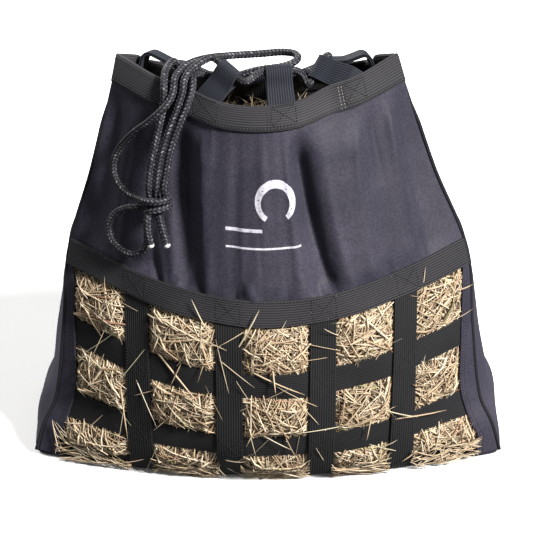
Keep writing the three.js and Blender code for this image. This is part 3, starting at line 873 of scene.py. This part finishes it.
def slack_below(wall, q, v):
    """The soft creases of the side and back cloth beside the net."""
    seed = {right_wall: 0.0, back_wall: 4.0, left_wall: 2.0}[wall]
    wide = reach(wall, v) * q
    waves = (np.sin(wide / 31 + v / 52 + seed) * np.sin(v / 38 - wide / 120 + seed)
             + 0.6 * np.sin(wide / 14 - v / 70 - seed))
    return 2.4 * (1.2 + waves) * (1 - q**4) * smooth_step(10, 70, v) * (
        1 - smooth_step(240, UPPER_LOW, v))


def columns_of(steps):
    """The places along a wall of a panel's columns, without the last, which is the next one's."""
    return np.linspace(-1, 1, steps + 1)[None, :-1]


def upper_sheet():
    """The cloth above the net, once round the bag, as rows of points."""
    v = np.linspace(UPPER_LOW, WALL_HEIGHT - WEBBING_THICK - 1, UPPER_ROWS)[:, None]
    parts = []
    for wall, steps, *_ in PANELS:
        q = columns_of(steps)
        parts.append(off_wall(wall, q, v, CLOTH_OUT + hang(wall, q, v)))
    return np.concatenate(parts, 1), v[:, 0]


def drape(points, v):
    """Lets the upper cloth hang in its folds, held by the band, the seams and the rim."""
    rows, columns = points.shape[:2]
    sheet = make_mesh("drape", points, grid_faces(rows, columns, closed=True),
                      bpy.data.materials.new("drape"))
    sheet.shape_key_add(name="Basis")
    rest = sheet.shape_key_add(name="rest")
    middle = points.mean((0, 1))
    slack = middle + (points - middle) * [SLACK, SLACK, 1.0]
    rest.data.foreach_set("co", (slack.reshape(-1, 3) * MM).ravel())
    rest.value = 0.0
    pins = sheet.vertex_groups.new(name="held")
    held = np.zeros((rows, columns), bool)
    held[(v < BAND_AT + 6) | (v > BINDING_LOW + 2)] = True
    held[:, SEAMS[:-1]] = True
    pins.add(np.flatnonzero(held.ravel()).tolist(), 1.0, "REPLACE")
    cloth = sheet.modifiers.new("Cloth", "CLOTH")
    for key, value in CLOTH_SETTINGS.items():
        setattr(cloth.settings, key, value)
    cloth.settings.rest_shape_key = rest
    scene = bpy.context.scene
    for step in range(1, CLOTH_FRAMES + 1):
        scene.frame_set(step)
    solved = sheet.evaluated_get(bpy.context.evaluated_depsgraph_get())
    hung = np.empty(rows * columns * 3, np.float32)
    solved.data.vertices.foreach_get("co", hung)
    bpy.data.objects.remove(sheet)
    scene.frame_set(1)
    return points + SETTLING * (hung.reshape(points.shape) / MM - points)


def limited(points, hung, v):
    """The hung cloth, with its moves limited, so that it stays behind the hanging cord."""
    outward = np.concatenate([directions(wall, columns_of(steps) * 0.995, v[:, None])[2]
                              for wall, steps, *_ in PANELS], 1)
    q = columns_of(SEAMS[1])
    by_cord = smooth_step(-1.0, -0.9, q) * (1 - smooth_step(-0.38, -0.28, q))
    room = np.full(points.shape[:2], MOST_OUT)
    room[:, :SEAMS[1]] -= (MOST_OUT - MOST_OUT_AT_CORD) * by_cord
    out = ((hung - points) * outward).sum(-1)
    kept = np.where(out > 0, room * np.tanh(out / room), MOST_IN * np.tanh(out / MOST_IN))
    return hung + outward * (kept - out)[..., None]


def finer(grid, times=2):
    """A grid of points with more rows and columns, smooth between the old ones."""
    for axis in (0, 1):
        old = np.arange(grid.shape[axis])
        new = np.linspace(0, old[-1], old[-1] * times + 1)
        i = np.clip(np.floor(new).astype(int), 0, old[-1] - 1)
        t = (new - i).reshape([-1 if k == axis else 1 for k in range(3)])
        a, b, c, d = (np.take(grid, np.clip(i + k, 0, old[-1]), axis) for k in (-1, 0, 1, 2))
        grid = 0.5 * (2 * b + (c - a) * t + (2 * a - 5 * b + 4 * c - d) * t**2
                      + (3 * b - a - 3 * c + d) * t**3)
    return grid


def add_cloth(look):
    """The panels. Returns the front's upper grid, which the print lies on."""
    points, v = upper_sheet()
    points = limited(points, drape(points, v), v)
    ring = np.concatenate([points, points[:, :1]], 1)
    for k, (wall, steps, side, node) in enumerate(PANELS):
        upper = ring[:, SEAMS[k]:SEAMS[k + 1] + 1]
        if wall is not front_wall:
            low = np.linspace(NET_BOTTOM, UPPER_LOW, 47)[:-1, None]
            q = np.linspace(-1, 1, steps + 1)[None, :]
            lower = off_wall(wall, q, low, CLOTH_OUT + slack_below(wall, q, low))
            upper = np.concatenate([lower, upper])
        fine = finer(upper)
        if wall is front_wall:
            front = fine
        panel = cloth_piece(f"{side}_cloth", fine, look, node,
                            (2 * reach(wall, BAND_AT), ROW_HEIGHT * len(upper)))
    add_net_margins(look)
    return front


def net_half(v):
    """Half the net's width, which flares near the floor."""
    return NET_EDGE_AT + NET_EDGE_FLARE * np.clip(1 - (v - 40) / 100, 0, 1) ** 2


def net_edge(v):
    """Where the net's side edge lies on the front, as a share of half its arc."""
    return front_q(net_half(v) + section_at(v)[..., LEAN], v)


def add_net_margins(look):
    v = np.linspace(NET_BOTTOM - 1, BAND_AT - 4, 80)[:, None]
    share = np.linspace(0, 1, 14)[None, :]
    inner = net_edge(v)
    for name, sign in (("left", -1), ("right", 1)):
        q = sign * (inner + (1.004 - inner) * share)
        points = on_wall(front_wall, q, v, CLOTH_OUT)
        margin = cloth_piece(f"net_margin_{name}", points, look, f"net_edge_{name}",
                             (60.0, 300.0))


# ---- webbing ----

def round_wall(name, wall, low, high, out, look, node, end=1.0):
    middle = (low + high) / 2

    def place(along, across, depth):
        return on_wall(wall, -end + 2 * end * along, middle + across, out + depth)

    ribbon(name, place, 2 * reach(wall, middle), look, node, high - low)


def add_net(look, look_band):
    for node, at in STRAPS_AT.items():
        round_wall(f"{node}_webbing", front_wall, at - WEBBING / 2, at + WEBBING / 2, NET_BACK,
                   look, node, NEAR_SEAM)
    round_wall("net_bottom_webbing", front_wall, NET_BOTTOM, NET_BASE_TOP, NET_BACK, look,
               "net_edge_base", NEAR_SEAM)
    low, high = NET_BOTTOM - 1, BAND_AT - 12
    for i, x in enumerate(VERTICAL_STRAPS_AT, 1):
        def place(along, across, depth, x=x):
            v = low + (high - low) * along
            q = front_q(x, v) + across / reach(front_wall, v)
            return on_wall(front_wall, q, v, NET_FRONT + depth)

        ribbon(f"upright_strap_{i}", place, high - low, look, f"net_strap_vertical_{i}")
    round_wall("front_band_webbing", front_wall, BAND_AT - WEBBING / 2, BAND_AT + WEBBING / 2,
               COVER, look_band, "front_band")


def binding_outline():
    """The rim binding's section as (cloth height, out): folded over the cloth's top edge."""
    inner = NET_FRONT - BINDING_GAP
    outer = NET_FRONT + CLOTH_THICK + BINDING_GAP
    low, bend = WALL_HEIGHT - WEBBING, (outer - inner) / 2 + WEBBING_THICK
    top = WALL_HEIGHT - bend
    rise = np.linspace(low, top, 45)
    ribs = np.where((rise > low + 1) & (rise < top - 1), rib_height(rise - low), 0)
    turn = np.linspace(0, np.pi, 13)[1:-1]
    middle = (inner + outer) / 2
    outside = [*zip(rise, outer + WEBBING_THICK + ribs),
               *zip(top + bend * np.sin(turn), middle + bend * np.cos(turn)),
               *zip(rise[::-1], inner - WEBBING_THICK - ribs[::-1])]
    return np.array(outside), np.array([low, middle])


def add_rim_binding(look):
    outline, core = binding_outline()
    for side, wall in (("front", front_wall), ("back", back_wall), ("left", left_wall),
                       ("right", right_wall)):
        length = 2 * reach(wall, WALL_HEIGHT - WEBBING / 2)
        size = int(length / 4) + 1, len(outline)
        q = np.linspace(-1, 1, size[0])[:, None]
        points = on_wall(wall, q, outline[None, :, 0], outline[None, :, 1])
        uv = np.stack(np.broadcast_arrays(q * length / 2, lengths_along(outline)[None]), -1)
        ends = on_wall(wall, q[[0, -1], 0], core[0], core[1])
        faces = [grid_faces(*size, closed=True), *fans(*size, closed=False)]
        piece = make_mesh(f"rim_webbing_{side}", np.concatenate([points.reshape(-1, 3), ends]),
                          np.concatenate(faces), look,
                          np.concatenate([uv.reshape(-1, 2), np.zeros((2, 2))]))
        settle(piece, "webbing", f"rim_binding_{side}")


TAB_FLAT_HALF = 1.2  # half the distance between a tab's two layers below its cord


def tab_line(rise, count):
    """A tab's loop as (out, up): up its outer layer, over the cord and down the inner one."""
    ring = TAB_BORE + WEBBING_THICK / 2
    climb = np.linspace(-TAB_TAIL, rise, 60)
    half = TAB_FLAT_HALF + (ring - TAB_FLAT_HALF) * smooth_step(rise - 26, rise - 1, climb)
    turn = np.linspace(0, np.pi, 20)[1:-1]
    line = np.concatenate([
        np.stack([half, climb], -1),
        np.stack([ring * np.cos(turn), rise + ring * np.sin(turn)], -1),
        np.stack([-half, climb], -1)[::-1]])
    length = lengths_along(line)
    return along_line(np.linspace(0, length[-1], count), length, line), length[-1]


def add_tabs(look):
    for i, tab in enumerate(TABS, 1):
        line, length = tab_line(tab.rise, 60)
        way = unit(np.gradient(line, axis=0))
        outward = np.stack([way[:, 1], -way[:, 0]], -1)

        def place(along, across, depth, tab=tab, line=line, outward=outward):
            k = np.clip(np.round(along * (len(line) - 1)).astype(int), 0, len(line) - 1)
            flat = line[k] + outward[k] * (depth - WEBBING_THICK / 2)[..., None]
            pinch = 1 - 0.06 * smooth_step(0, tab.rise, flat[..., 1])
            return tab_point(tab, flat[..., 0], flat[..., 1], -across * pinch)

        ribbon(f"cord_tab_{i}_webbing", place, length, look, f"cord_tab_{i}",
               step=length / 59.5)


def add_piping(look):
    corners = [("front_left", front_wall, -1, left_wall, 1),
               ("front_right", front_wall, 1, right_wall, -1),
               ("back_left", back_wall, 1, left_wall, -1),
               ("back_right", back_wall, -1, right_wall, 1)]
    v = np.linspace(NET_BOTTOM, BINDING_LOW - 4, 120)
    for name, wall, q, other, other_q in corners:
        here = np.full(len(v), float(q))
        out = unit(directions(wall, here * 0.99, v)[2]
                   + directions(other, np.full(len(v), other_q * 0.9), v)[2])
        tucked = 5 * smooth_step(BINDING_LOW - 70, BINDING_LOW - 4, v)
        line = wall(here, v) + out * (PIPING_RADIUS + 0.6 - tucked)[:, None]
        settle(tube(f"seam_{name}", line, PIPING_RADIUS, look, 14), "piping",
               f"seam_piping_{name}")


def front_place(turn):
    """The place on the front for a turn of 0 to 6 round the bag, from the front's middle."""
    turn = np.mod(turn, 6)
    return np.clip(np.where(turn > 3, turn - 6, turn), -1, 1)


def round_bag(turn, v, front_out, out):
    """Points round the bag's walls. turn runs from 0 to 6 anticlockwise."""
    turn = np.mod(turn, 6)
    front = on_wall(front_wall, front_place(turn), v, front_out)
    right = on_wall(right_wall, np.clip(2 * (turn - 1) - 1, -1, 1), v, out)
    back = on_wall(back_wall, np.clip(turn - 3, -1, 1), v, out)
    left = on_wall(left_wall, np.clip(2 * (turn - 4) - 1, -1, 1), v, out)
    pick = [(turn <= 1) | (turn >= 5), turn < 2, turn <= 4]
    return np.select([p[..., None] for p in pick], [front, right, back], left)


def add_base(look):
    """The bottom panel, turned up at its edge to meet the walls."""
    shares = [1.0, 0.992, 0.975, 0.94, 0.8, 0.6, 0.4, 0.2, 0.02]
    heights = [6.5, 3.6, 1.6, 1.0, 1.0, 1.2, 1.2, 1.2, 1.2]
    turn, share = np.meshgrid(6 * np.arange(241) / 240, shares)
    rim = round_bag(turn, np.full(turn.shape, 1.0), 0.8, 0.8)
    points = rim * share[..., None]
    points[..., 2] = np.array(heights)[:, None]
    piece = make_mesh("base_cloth", points, grid_faces(*turn.shape), look, points[..., :2])
    thicken(piece)
    settle(piece, "cloth", "base_panel")


# ---- stitching and print ----

def stitch_line(line, out):
    """One row of stitches along a line: where each starts, where it ends, and its outward."""
    length = lengths_along(line)
    starts = np.arange(0.6, length[-1] - STITCH, STITCH + STITCH_GAP)
    return (along_line(starts, length, line), along_line(starts + STITCH, length, line),
            unit(along_line(starts, length, out)))


def wall_line(wall, start, end, out, steps=60):
    """A stitched line on a wall between two (q, cloth height) places."""
    t = np.linspace(0, 1, steps)
    q = start[0] + (end[0] - start[0]) * t
    v = start[1] + (end[1] - start[1]) * t
    return stitch_line(on_wall(wall, q, v, out), directions(wall, q, v)[2])


def level_line(wall, v, out, steps):
    return wall_line(wall, (-NEAR_SEAM, v), (NEAR_SEAM, v), out, steps)


def upright_pair(q, apart, low, high, out):
    return [wall_line(front_wall, (at, low), (at, high), out, 16) for at in (q, q + apart)]


def box_lines(wall, q, v, half_wide, half_high, out):
    """A sewn box with a cross in it, round a place on a wall."""
    dq = half_wide / reach(wall, v)
    corner = [(q - dq, v - half_high), (q + dq, v - half_high), (q + dq, v + half_high),
              (q - dq, v + half_high)]
    pairs = [(0, 1), (1, 2), (2, 3), (3, 0), (0, 2), (1, 3)]
    return [wall_line(wall, corner[a], corner[b], out, 16) for a, b in pairs]


STITCH_FACES = np.array([[0, 2, 6], [0, 6, 5], [2, 3, 7], [2, 7, 6], [6, 7, 4], [6, 4, 5],
                         [3, 1, 7], [1, 4, 7], [0, 5, 2], [1, 3, 4], [2, 5, 4], [2, 4, 3]])


def add_stitches(name, lines, material):
    """All the stitches of one group, each a short thread that dips in at both ends."""
    start, end, out = (np.concatenate(part) for part in zip(*lines))
    along = unit(end - start)
    side = np.cross(along, out) * THREAD
    middle = (start + end) / 2
    reach_along = along * STITCH * 0.32
    high = out * THREAD * 0.8
    points = np.stack([start - high, end - high,
                       middle - reach_along + side, middle + reach_along + side,
                       middle + reach_along - side, middle - reach_along - side,
                       middle - reach_along + high, middle + reach_along + high], 1)
    offsets = np.arange(len(start))[:, None, None] * points.shape[1]
    settle(make_mesh(name, points, (STITCH_FACES + offsets).reshape(-1, 3), material), "webbing")


def add_all_stitches(dark, pale):
    high = WEBBING_THICK + RIB_DEPTH + 0.1
    edge = WEBBING / 2 - 3
    cover = COVER + high
    front = NET_FRONT + high
    band = [level_line(front_wall, BAND_AT + e, cover, 200) for e in (-edge, edge)]
    net = []
    for x in VERTICAL_STRAPS_AT:
        for at in STRAPS_AT.values():
            q = front_q(x, at)
            net += box_lines(front_wall, q, at, edge, edge, front)
        q = front_q(x, BAND_AT)
        band += box_lines(front_wall, q, BAND_AT, edge + 1, edge, cover)
    for sign in (-1, 1):
        v = np.linspace(NET_BOTTOM + 2, BAND_AT - 20, 80)
        for inset in (4, 9):
            q = sign * (net_edge(v) + inset / reach(front_wall, v))
            net.append(stitch_line(on_wall(front_wall, q, v, NET_FRONT + CLOTH_THICK + 0.1),
                                   directions(front_wall, q, v)[2]))
    add_stitches("band_stitching", band, dark)
    add_stitches("net_stitching", net, dark)
    rim_out = NET_FRONT + CLOTH_THICK + BINDING_GAP + high
    rim = [level_line(wall, BINDING_LOW + 3.5, rim_out, 160)
           for wall in (front_wall, back_wall, left_wall, right_wall)]
    middle = BINDING_LOW + WEBBING / 2
    for tab in TABS:
        rim += box_lines(tab.wall, tab.q, middle + 1, edge, edge - 2, rim_out)
    rim += upright_pair(0.055, 0.018, BINDING_LOW + 2, 598, rim_out)
    add_stitches("rim_stitching", rim, dark)
    add_stitches("rim_join_stitching",
                 upright_pair(0.50, 0.022, BINDING_LOW + 1, 600, rim_out), pale)


PRINT_AT = (0.035, 468.0)  # place along the front, and cloth height
PRINT_HIGH = 62.0
HORSESHOE_AT = (9.0, 4.0)  # from the print's middle, as the rules are
RULES = [(-58, -10, -38.5, -33.5, 32), (-58, 38, -63.5, -60.5, 56)]  # x, x, z, z and columns


def add_print(front, look):
    """A plain horseshoe over two plain rules, laid on the front's upper cloth."""
    q0, v0 = PRINT_AT
    rows, columns = front.shape[:2]
    v_rows = np.linspace(UPPER_LOW, WALL_HEIGHT - WEBBING_THICK - 1, rows)
    half = reach(front_wall, v0)

    def lay(x, z):
        """A place on the cloth, x along it and z up from the print's middle."""
        c = (q0 + x / half + 1) / 2 * (columns - 1)
        r = np.interp(v0 + z, v_rows, np.arange(rows))
        i, j = np.floor(r).astype(int), np.floor(c).astype(int)
        a, b = (r - i)[..., None], (c - j)[..., None]
        point = ((1 - a) * ((1 - b) * front[i, j] + b * front[i, j + 1])
                 + a * ((1 - b) * front[i + 1, j] + b * front[i + 1, j + 1]))
        out = unit(np.cross(front[i, j + 1] - front[i, j], front[i + 1, j] - front[i, j]))
        return point + out * (CLOTH_THICK / 2 + 0.25)

    parts, faces, count = [], [], 0
    turn = np.radians(np.linspace(-56, 236, 81))[:, None]
    share = np.linspace(0, 1, 7)[None, :]
    wide, high = PRINT_HIGH * 0.44, PRINT_HIGH * 0.5
    web = 0.30 * (1 + 0.25 * np.sin(turn))
    shape = 1 - web * share
    x = HORSESHOE_AT[0] + wide * shape * np.cos(turn)
    z = HORSESHOE_AT[1] + high * shape * np.sin(turn)
    nail_holes = np.zeros((80, 6), bool)
    nail_holes[[8, 17, 26, 53, 62, 71], 3] = True
    grids = [(x, z)]
    for left, right, low, top, columns_here in RULES:
        grids.append(np.meshgrid(np.linspace(left, right, columns_here),
                                 np.linspace(low, top, 3)))
    for k, (grid_x, grid_z) in enumerate(grids):
        quads = grid_faces(*grid_x.shape)
        if k == 0:
            quads = quads[~nail_holes.ravel()]
        parts.append(lay(grid_x, grid_z).reshape(-1, 3))
        faces.append(quads + count)
        count += grid_x.size
    piece = make_mesh("front_print", np.concatenate(parts), np.concatenate(faces), look)
    settle(piece, "cloth")


# ---- hay ----

PILLOW_HIGH = 11.0
PILLOW_ROUND = 8.0  # how far from a strap the hay has mostly risen
UNDER_STRAPS = 1.6


def pillow(q, v):
    """How far the hay stands out between the straps of the net, and stays back under them."""
    across = np.inf
    for x in VERTICAL_STRAPS_AT:
        away = np.abs(q - front_q(x, v)) * reach(front_wall, v)
        across = np.minimum(across, away - WEBBING / 2)
    across = np.minimum(across, (net_edge(v) - np.abs(q)) * reach(front_wall, v))
    along = np.minimum(v - NET_BASE_TOP, BAND_AT - WEBBING / 2 - v)
    for at in STRAPS_AT.values():
        along = np.minimum(along, np.abs(v - at) - WEBBING / 2)
    clear = np.minimum(across, along)
    return PILLOW_HIGH * (1 - np.exp(-np.clip(clear - 0.5, 0, None) / PILLOW_ROUND)) - UNDER_STRAPS


def outline_at(turn, v):
    """The heap's outline, kept inside the walls and bulging a little between the straps."""
    q = front_place(turn)
    bulged = np.clip(pillow(q, v) - 7.0, -HAY_INSET, 3)
    tucked = smooth_step(BAND_AT - WEBBING / 2, BAND_AT + 20, v)
    return round_bag(turn, v, bulged - tucked * (bulged + HAY_INSET + 18), -HAY_INSET)


FARTHEST_FORWARD = 214.0
LOWEST_STALK = 1.5
STATIONS = 6  # points along a curled stalk
MOUTH_MIDDLE = (-8, 25)
HEAP_TOP = 446


def hay_level(height, wall_level):
    """The heap's top, level with its outline at the walls and crowned in the middle."""
    return wall_level + HAY_CROWN * np.clip(height - 1, 0, None)


def add_hay_heap(look):
    """The heap itself, which fills the gaps between its loose stalks, drawn dark as painted shade in
    those gaps.
    """
    turns = 6 * np.arange(300) / 300
    heights = np.concatenate([[0.0], np.linspace(0.01, 1, 92), np.linspace(1.08, 2, 14)])
    shares = np.interp(heights, [0, 0.01, 0.03, 0.97, 1.0, 1.5, 1.9, 2.0],
                       [0.6, 0.93, 1, 1, 0.98, 0.80, 0.45, 0.02])
    turn, height = np.meshgrid(turns, heights)
    v = HAY_TOP * np.clip(height, 0, 1)
    rim = outline_at(turn, v)
    s = section_at(v)
    front, back = s[..., FRONT], s[..., BACK]
    middle_y = (front[..., Y] - front[..., BULGE] + back[..., Y] + back[..., BULGE]) / 2
    middle = np.stack([s[..., LEAN], middle_y], -1)
    share = shares[:, None, None]
    flat = middle + (rim[..., :2] - middle) * share
    level = np.where(height == 0, HAY_FLOOR, hay_level(height, rim[..., 2]))
    points = np.concatenate([flat, level[..., None]], -1)
    rough = random.normal(0, 1.6, points.shape)
    rough[:2] = 0
    points = points + rough
    tops = points[[0, -1]].mean(1)
    faces = np.concatenate([grid_faces(*turn.shape, closed=True), *fans(*turn.shape)])
    # Only the darker half of the hay's shades: painted shade in the gaps between the stalks.
    tint = random.uniform(0.0, 0.5, turn.size + 2)
    piece = make_mesh("hay_heap", np.concatenate([points.reshape(-1, 3), tops]), faces, look,
                      tint=tint, smooth=False)
    settle(piece, "hay", "hay_fill")


def stalk_mesh(name, spine, radius, tint, look):
    """Many stalks in one mesh. spine is (stalks, stations, 3) in millimetres."""
    stalks, stations = spine.shape[:2]
    tangent = unit(np.gradient(spine, axis=1))
    helper = unit(random.normal(0, 1, (stalks, 1, 3)))
    side = unit(np.cross(tangent, helper))
    other = np.cross(tangent, side)
    taper = np.interp(np.linspace(0, 1, stations), [0, 0.12, 0.8, 1], [0.75, 1, 0.8, 0.2])
    r = (radius[:, None] * taper[None, :])[..., None]
    ring = np.stack([spine + side * r, spine - side * r * 0.5 + other * r * 0.7,
                     spine - side * r * 0.5 - other * r * 0.7], 2)
    base = (np.arange(stalks) * stations * 3)[:, None, None, None]
    i = np.arange(stations - 1)[None, :, None, None] * 3
    k = np.arange(3)[None, None, :, None]
    after = (k + 1) % 3
    quads = np.concatenate([base + i + k, base + i + after, base + i + 3 + after,
                            base + i + 3 + k], -1).reshape(-1, 4)
    tints = np.repeat(tint, stations * 3)
    settle(make_mesh(name, ring, quads, look, tint=tints, smooth=False), "hay")


def stalk_tints(count):
    """Mostly straw and tan, with some brown, a few green and a few reddish stalks."""
    tint = np.clip(random.normal(0.62, 0.20, count), 0.02, 0.925)
    odd = random.random(count)
    tint = np.where(odd > 0.965, random.uniform(0.945, 0.96, count), tint)
    return np.where(odd > 0.985, random.uniform(0.985, 1.0, count), tint)


def uneven(usual, low, high, count):
    """Sizes that vary round a usual one, between two limits."""
    return np.clip(random.gamma(5.0, usual / 5.0, count), low, high)


def net_stalks(name, count, level, long, thick, look):
    """Stalks lying in the net's openings, at about one depth, crossing each other."""
    each = (count, 1)
    v = random.uniform(NET_BOTTOM + 2, BAND_AT - 6, each)
    x = random.uniform(-1, 1, each) * (net_half(v) + 6)
    turn = random.uniform(0, np.pi, each)
    length = uneven(long, 20, 120, each)
    t = np.linspace(-0.5, 0.5, STATIONS)
    curl = random.normal(0, 0.02, each) * length * (4 * t * t)
    x = x + length * t * np.cos(turn) - curl * np.sin(turn)
    v = v + length * t * np.sin(turn) + curl * np.cos(turn)
    v = np.clip(v, NET_BOTTOM - 1, BAND_AT + 10)
    q = np.clip(front_q(x, v), -NEAR_SEAM, NEAR_SEAM)
    depth = level + random.normal(0, 1.8, each) + random.normal(0, 4.0, each) * t * 2
    limit = pillow(q, v)
    out = np.minimum(limit + depth, limit + 6 * (limit > 4))
    spine = kept_near(on_wall(front_wall, q, v, out))
    radius = uneven(thick, 0.4, 2.0, count)
    stalk_mesh(name, spine, radius, stalk_tints(count), look)


def kept_near(spine):
    """Stalks kept above the floor and from reaching far in front of the bag."""
    return np.maximum(spine, [-np.inf, -FARTHEST_FORWARD, LOWEST_STALK])


def straight_stalks(name, start, end, bow, thick, tints, look):
    """Stalks drawn from start to end, with a little bow away from the bag."""
    t = np.linspace(0, 1, 5)[None, :, None]
    spine = start[:, None] + (end - start)[:, None] * t
    spine[..., 1] -= bow[:, None] * (4 * t * (1 - t))[..., 0]
    radius = uneven(thick, 0.4, 1.6, len(start))
    stalk_mesh(name, kept_near(spine), radius, tints, look)


def stray_stalks(count, look):
    """Stalks that have worked out of the net and lie over its straps and edges."""
    rows = [(NET_BASE_TOP, 71), (109, 181), (219, 288)]
    v0 = np.array([random.uniform(*rows[k]) for k in random.integers(0, 3, count)])
    x0 = random.uniform(-0.97, 0.97, count) * net_half(v0)
    turn = random.uniform(0, 2 * np.pi, count)
    length = random.uniform(25, 95, count)
    v1 = np.clip(v0 + length * np.sin(turn), 6, BAND_AT + 8)
    x1 = np.clip(x0 + length * np.cos(turn), -318, 318)
    start = on_wall(front_wall, np.clip(front_q(x0, v0), -0.98, 0.98), v0, 4.0)
    end = on_wall(front_wall, np.clip(front_q(x1, v1), -1, 1), v1, random.uniform(8, 16, count))
    straight_stalks("stray_hay", start, end, random.uniform(1, 3, count), 0.95,
                    np.clip(stalk_tints(count) + 0.12, 0, 0.93), look)


def hem_stalks(count, look):
    """Stalks that lie over the net's bottom edge between its upright straps."""
    gaps = [-net_half(10), *VERTICAL_STRAPS_AT, net_half(10)]
    k = random.integers(0, len(gaps) - 1, count)
    low = np.array(gaps[:-1])[k] + WEBBING / 2 * (k > 0)
    high = np.array(gaps[1:])[k] - WEBBING / 2 * (k < len(gaps) - 2)
    x0 = low + (high - low) * random.random(count)
    v0 = random.uniform(3, 34, count)
    turn = random.normal(0, 0.45, count) + np.pi * (random.random(count) > 0.5)
    length = random.uniform(22, 62, count)
    x1 = np.clip(x0 + length * np.cos(turn), low - 4, high + 4)
    v1 = np.clip(v0 + length * np.sin(turn), 1, 60)
    start = on_wall(front_wall, front_q(x0, v0), v0, random.uniform(3, 10, count))
    end = on_wall(front_wall, front_q(x1, v1), v1, random.uniform(3, 12, count))
    straight_stalks("hem_hay", start, end, random.uniform(0, 2, count), 1.15,
                    stalk_tints(count), look)


def mouth_stalks(count, look):
    """The top of the heap, as seen down through the mouth: higher at the back."""
    each = (count, 1)
    middle_x, middle_y = MOUTH_MIDDLE
    turn = random.uniform(0, 2 * np.pi, each)
    out = np.sqrt(random.random(each))
    x = middle_x + 200 * out * np.cos(turn)
    y = middle_y + 70 * out * np.sin(turn)
    z = HEAP_TOP - 34 * out**2 + 42 * smooth_step(0, 75, y) + random.uniform(-6, 14, each)
    heading = random.uniform(0, 2 * np.pi, each)
    tilt = np.abs(random.normal(0, 0.22, each)) + 0.6 * (random.random(each) > 0.93)
    length = random.uniform(30, 85, each)
    t = np.linspace(-0.5, 0.5, STATIONS)
    flat = length * np.cos(tilt) * t
    x = x + flat * np.cos(heading)
    y = y + flat * np.sin(heading)
    z = z + length * np.sin(tilt) * (t + 0.3)
    bow = np.sqrt(1 - np.clip(np.abs(x - middle_x) / 225, 0, 0.97) ** 2)
    y = np.clip(y, middle_y - 85 * bow + 14, middle_y + 80 * bow - 12)
    spine = np.stack([np.clip(x, -215, 200), y, z], -1)
    radius = uneven(1.1, 0.4, 1.6, count)
    stalk_mesh("mouth_hay", spine, radius, stalk_tints(count), look)


def add_hay():
    # The deep look is the same hay darkened as painted shade, for the heap and the innermost stalks.
    bright, deep = hay_look("hay", 0.0), hay_look("deep_hay_painted_shade", 0.62)
    add_hay_heap(deep)
    net_stalks("inner_hay", 3000, level=-7.0, long=66, thick=1.3, look=deep)
    net_stalks("middle_hay", 2300, level=-3.0, long=66, thick=1.35, look=bright)
    net_stalks("outer_hay", 1800, level=0.0, long=70, thick=1.3, look=bright)
    stray_stalks(95, bright)
    hem_stalks(420, bright)
    mouth_stalks(1500, bright)


# ---- floor and light ----

def add_stage():
    floor_look = Look("floor")
    grain = floor_look.noise(floor_look.place(), 3.0)
    floor_look.set(Base_Color=floor_look.ramp(grain, (0.3, srgb(246, 246, 246)),
                                              (0.7, srgb(250, 250, 250))), Roughness=0.9)
    mesh = bpy.data.meshes.new("floor")
    size = 14.0
    corners = [(-size, -size, 0), (size, -size, 0), (size, size, 0), (-size, size, 0)]
    mesh.from_pydata(corners, [], [(0, 1, 2, 3)])
    mesh.materials.append(floor_look.material)
    floor = add_object("floor", mesh)
    floor.visible_diffuse = False
    floor.visible_glossy = False


def add_sun(name, towards, strength, angle):
    data = bpy.data.lights.new(name, "SUN")
    data.energy = strength
    data.angle = math.radians(angle)
    data.color = (1.0, 0.985, 0.96)
    sun = add_object(name, data)
    sun.rotation_euler = Vector(towards).to_track_quat("Z", "Y").to_euler()


def add_lights():
    world = bpy.data.worlds.new("studio")
    world.use_nodes = True
    background = world.node_tree.nodes["Background"]
    background.inputs["Color"].default_value = (0.96, 0.98, 1.0, 1)
    background.inputs["Strength"].default_value = 0.31
    bpy.context.scene.world = world
    add_sun("key", towards=(2.2, -1.5, 2.25), strength=9.6, angle=14)
    add_sun("rear", towards=(-1.6, 2.2, 1.7), strength=4.0, angle=40)
    bpy.context.scene.view_settings.view_transform = "Standard"


add_camera()
cord_material = cord_look()
add_cords(cord_material, tip_look())
# The third colour of each webbing look, here and for the tabs, is its painted rib highlight.
webbing = webbing_look("net_webbing", srgb(13, 13, 14), srgb(22, 22, 24), srgb(52, 51, 53),
                       0.02)
bound_webbing = webbing_look("bound_webbing", srgb(17, 17, 19), srgb(29, 28, 31),
                             srgb(78, 76, 80), 0.04)
cloth = cloth_look()
front_grid = add_cloth(cloth)
add_piping(piping_look())
add_net(webbing, bound_webbing)
add_rim_binding(bound_webbing)
add_tabs(webbing_look("tab_webbing", srgb(17, 18, 23), srgb(28, 30, 38), srgb(52, 55, 66),
                      0.04))
add_base(cloth)
add_all_stitches(thread_look("dark_thread", srgb(10, 10, 11)),
                 thread_look("pale_thread", srgb(150, 148, 142)))
add_print(front_grid, print_look())
add_hay()
add_stage()
add_lights()
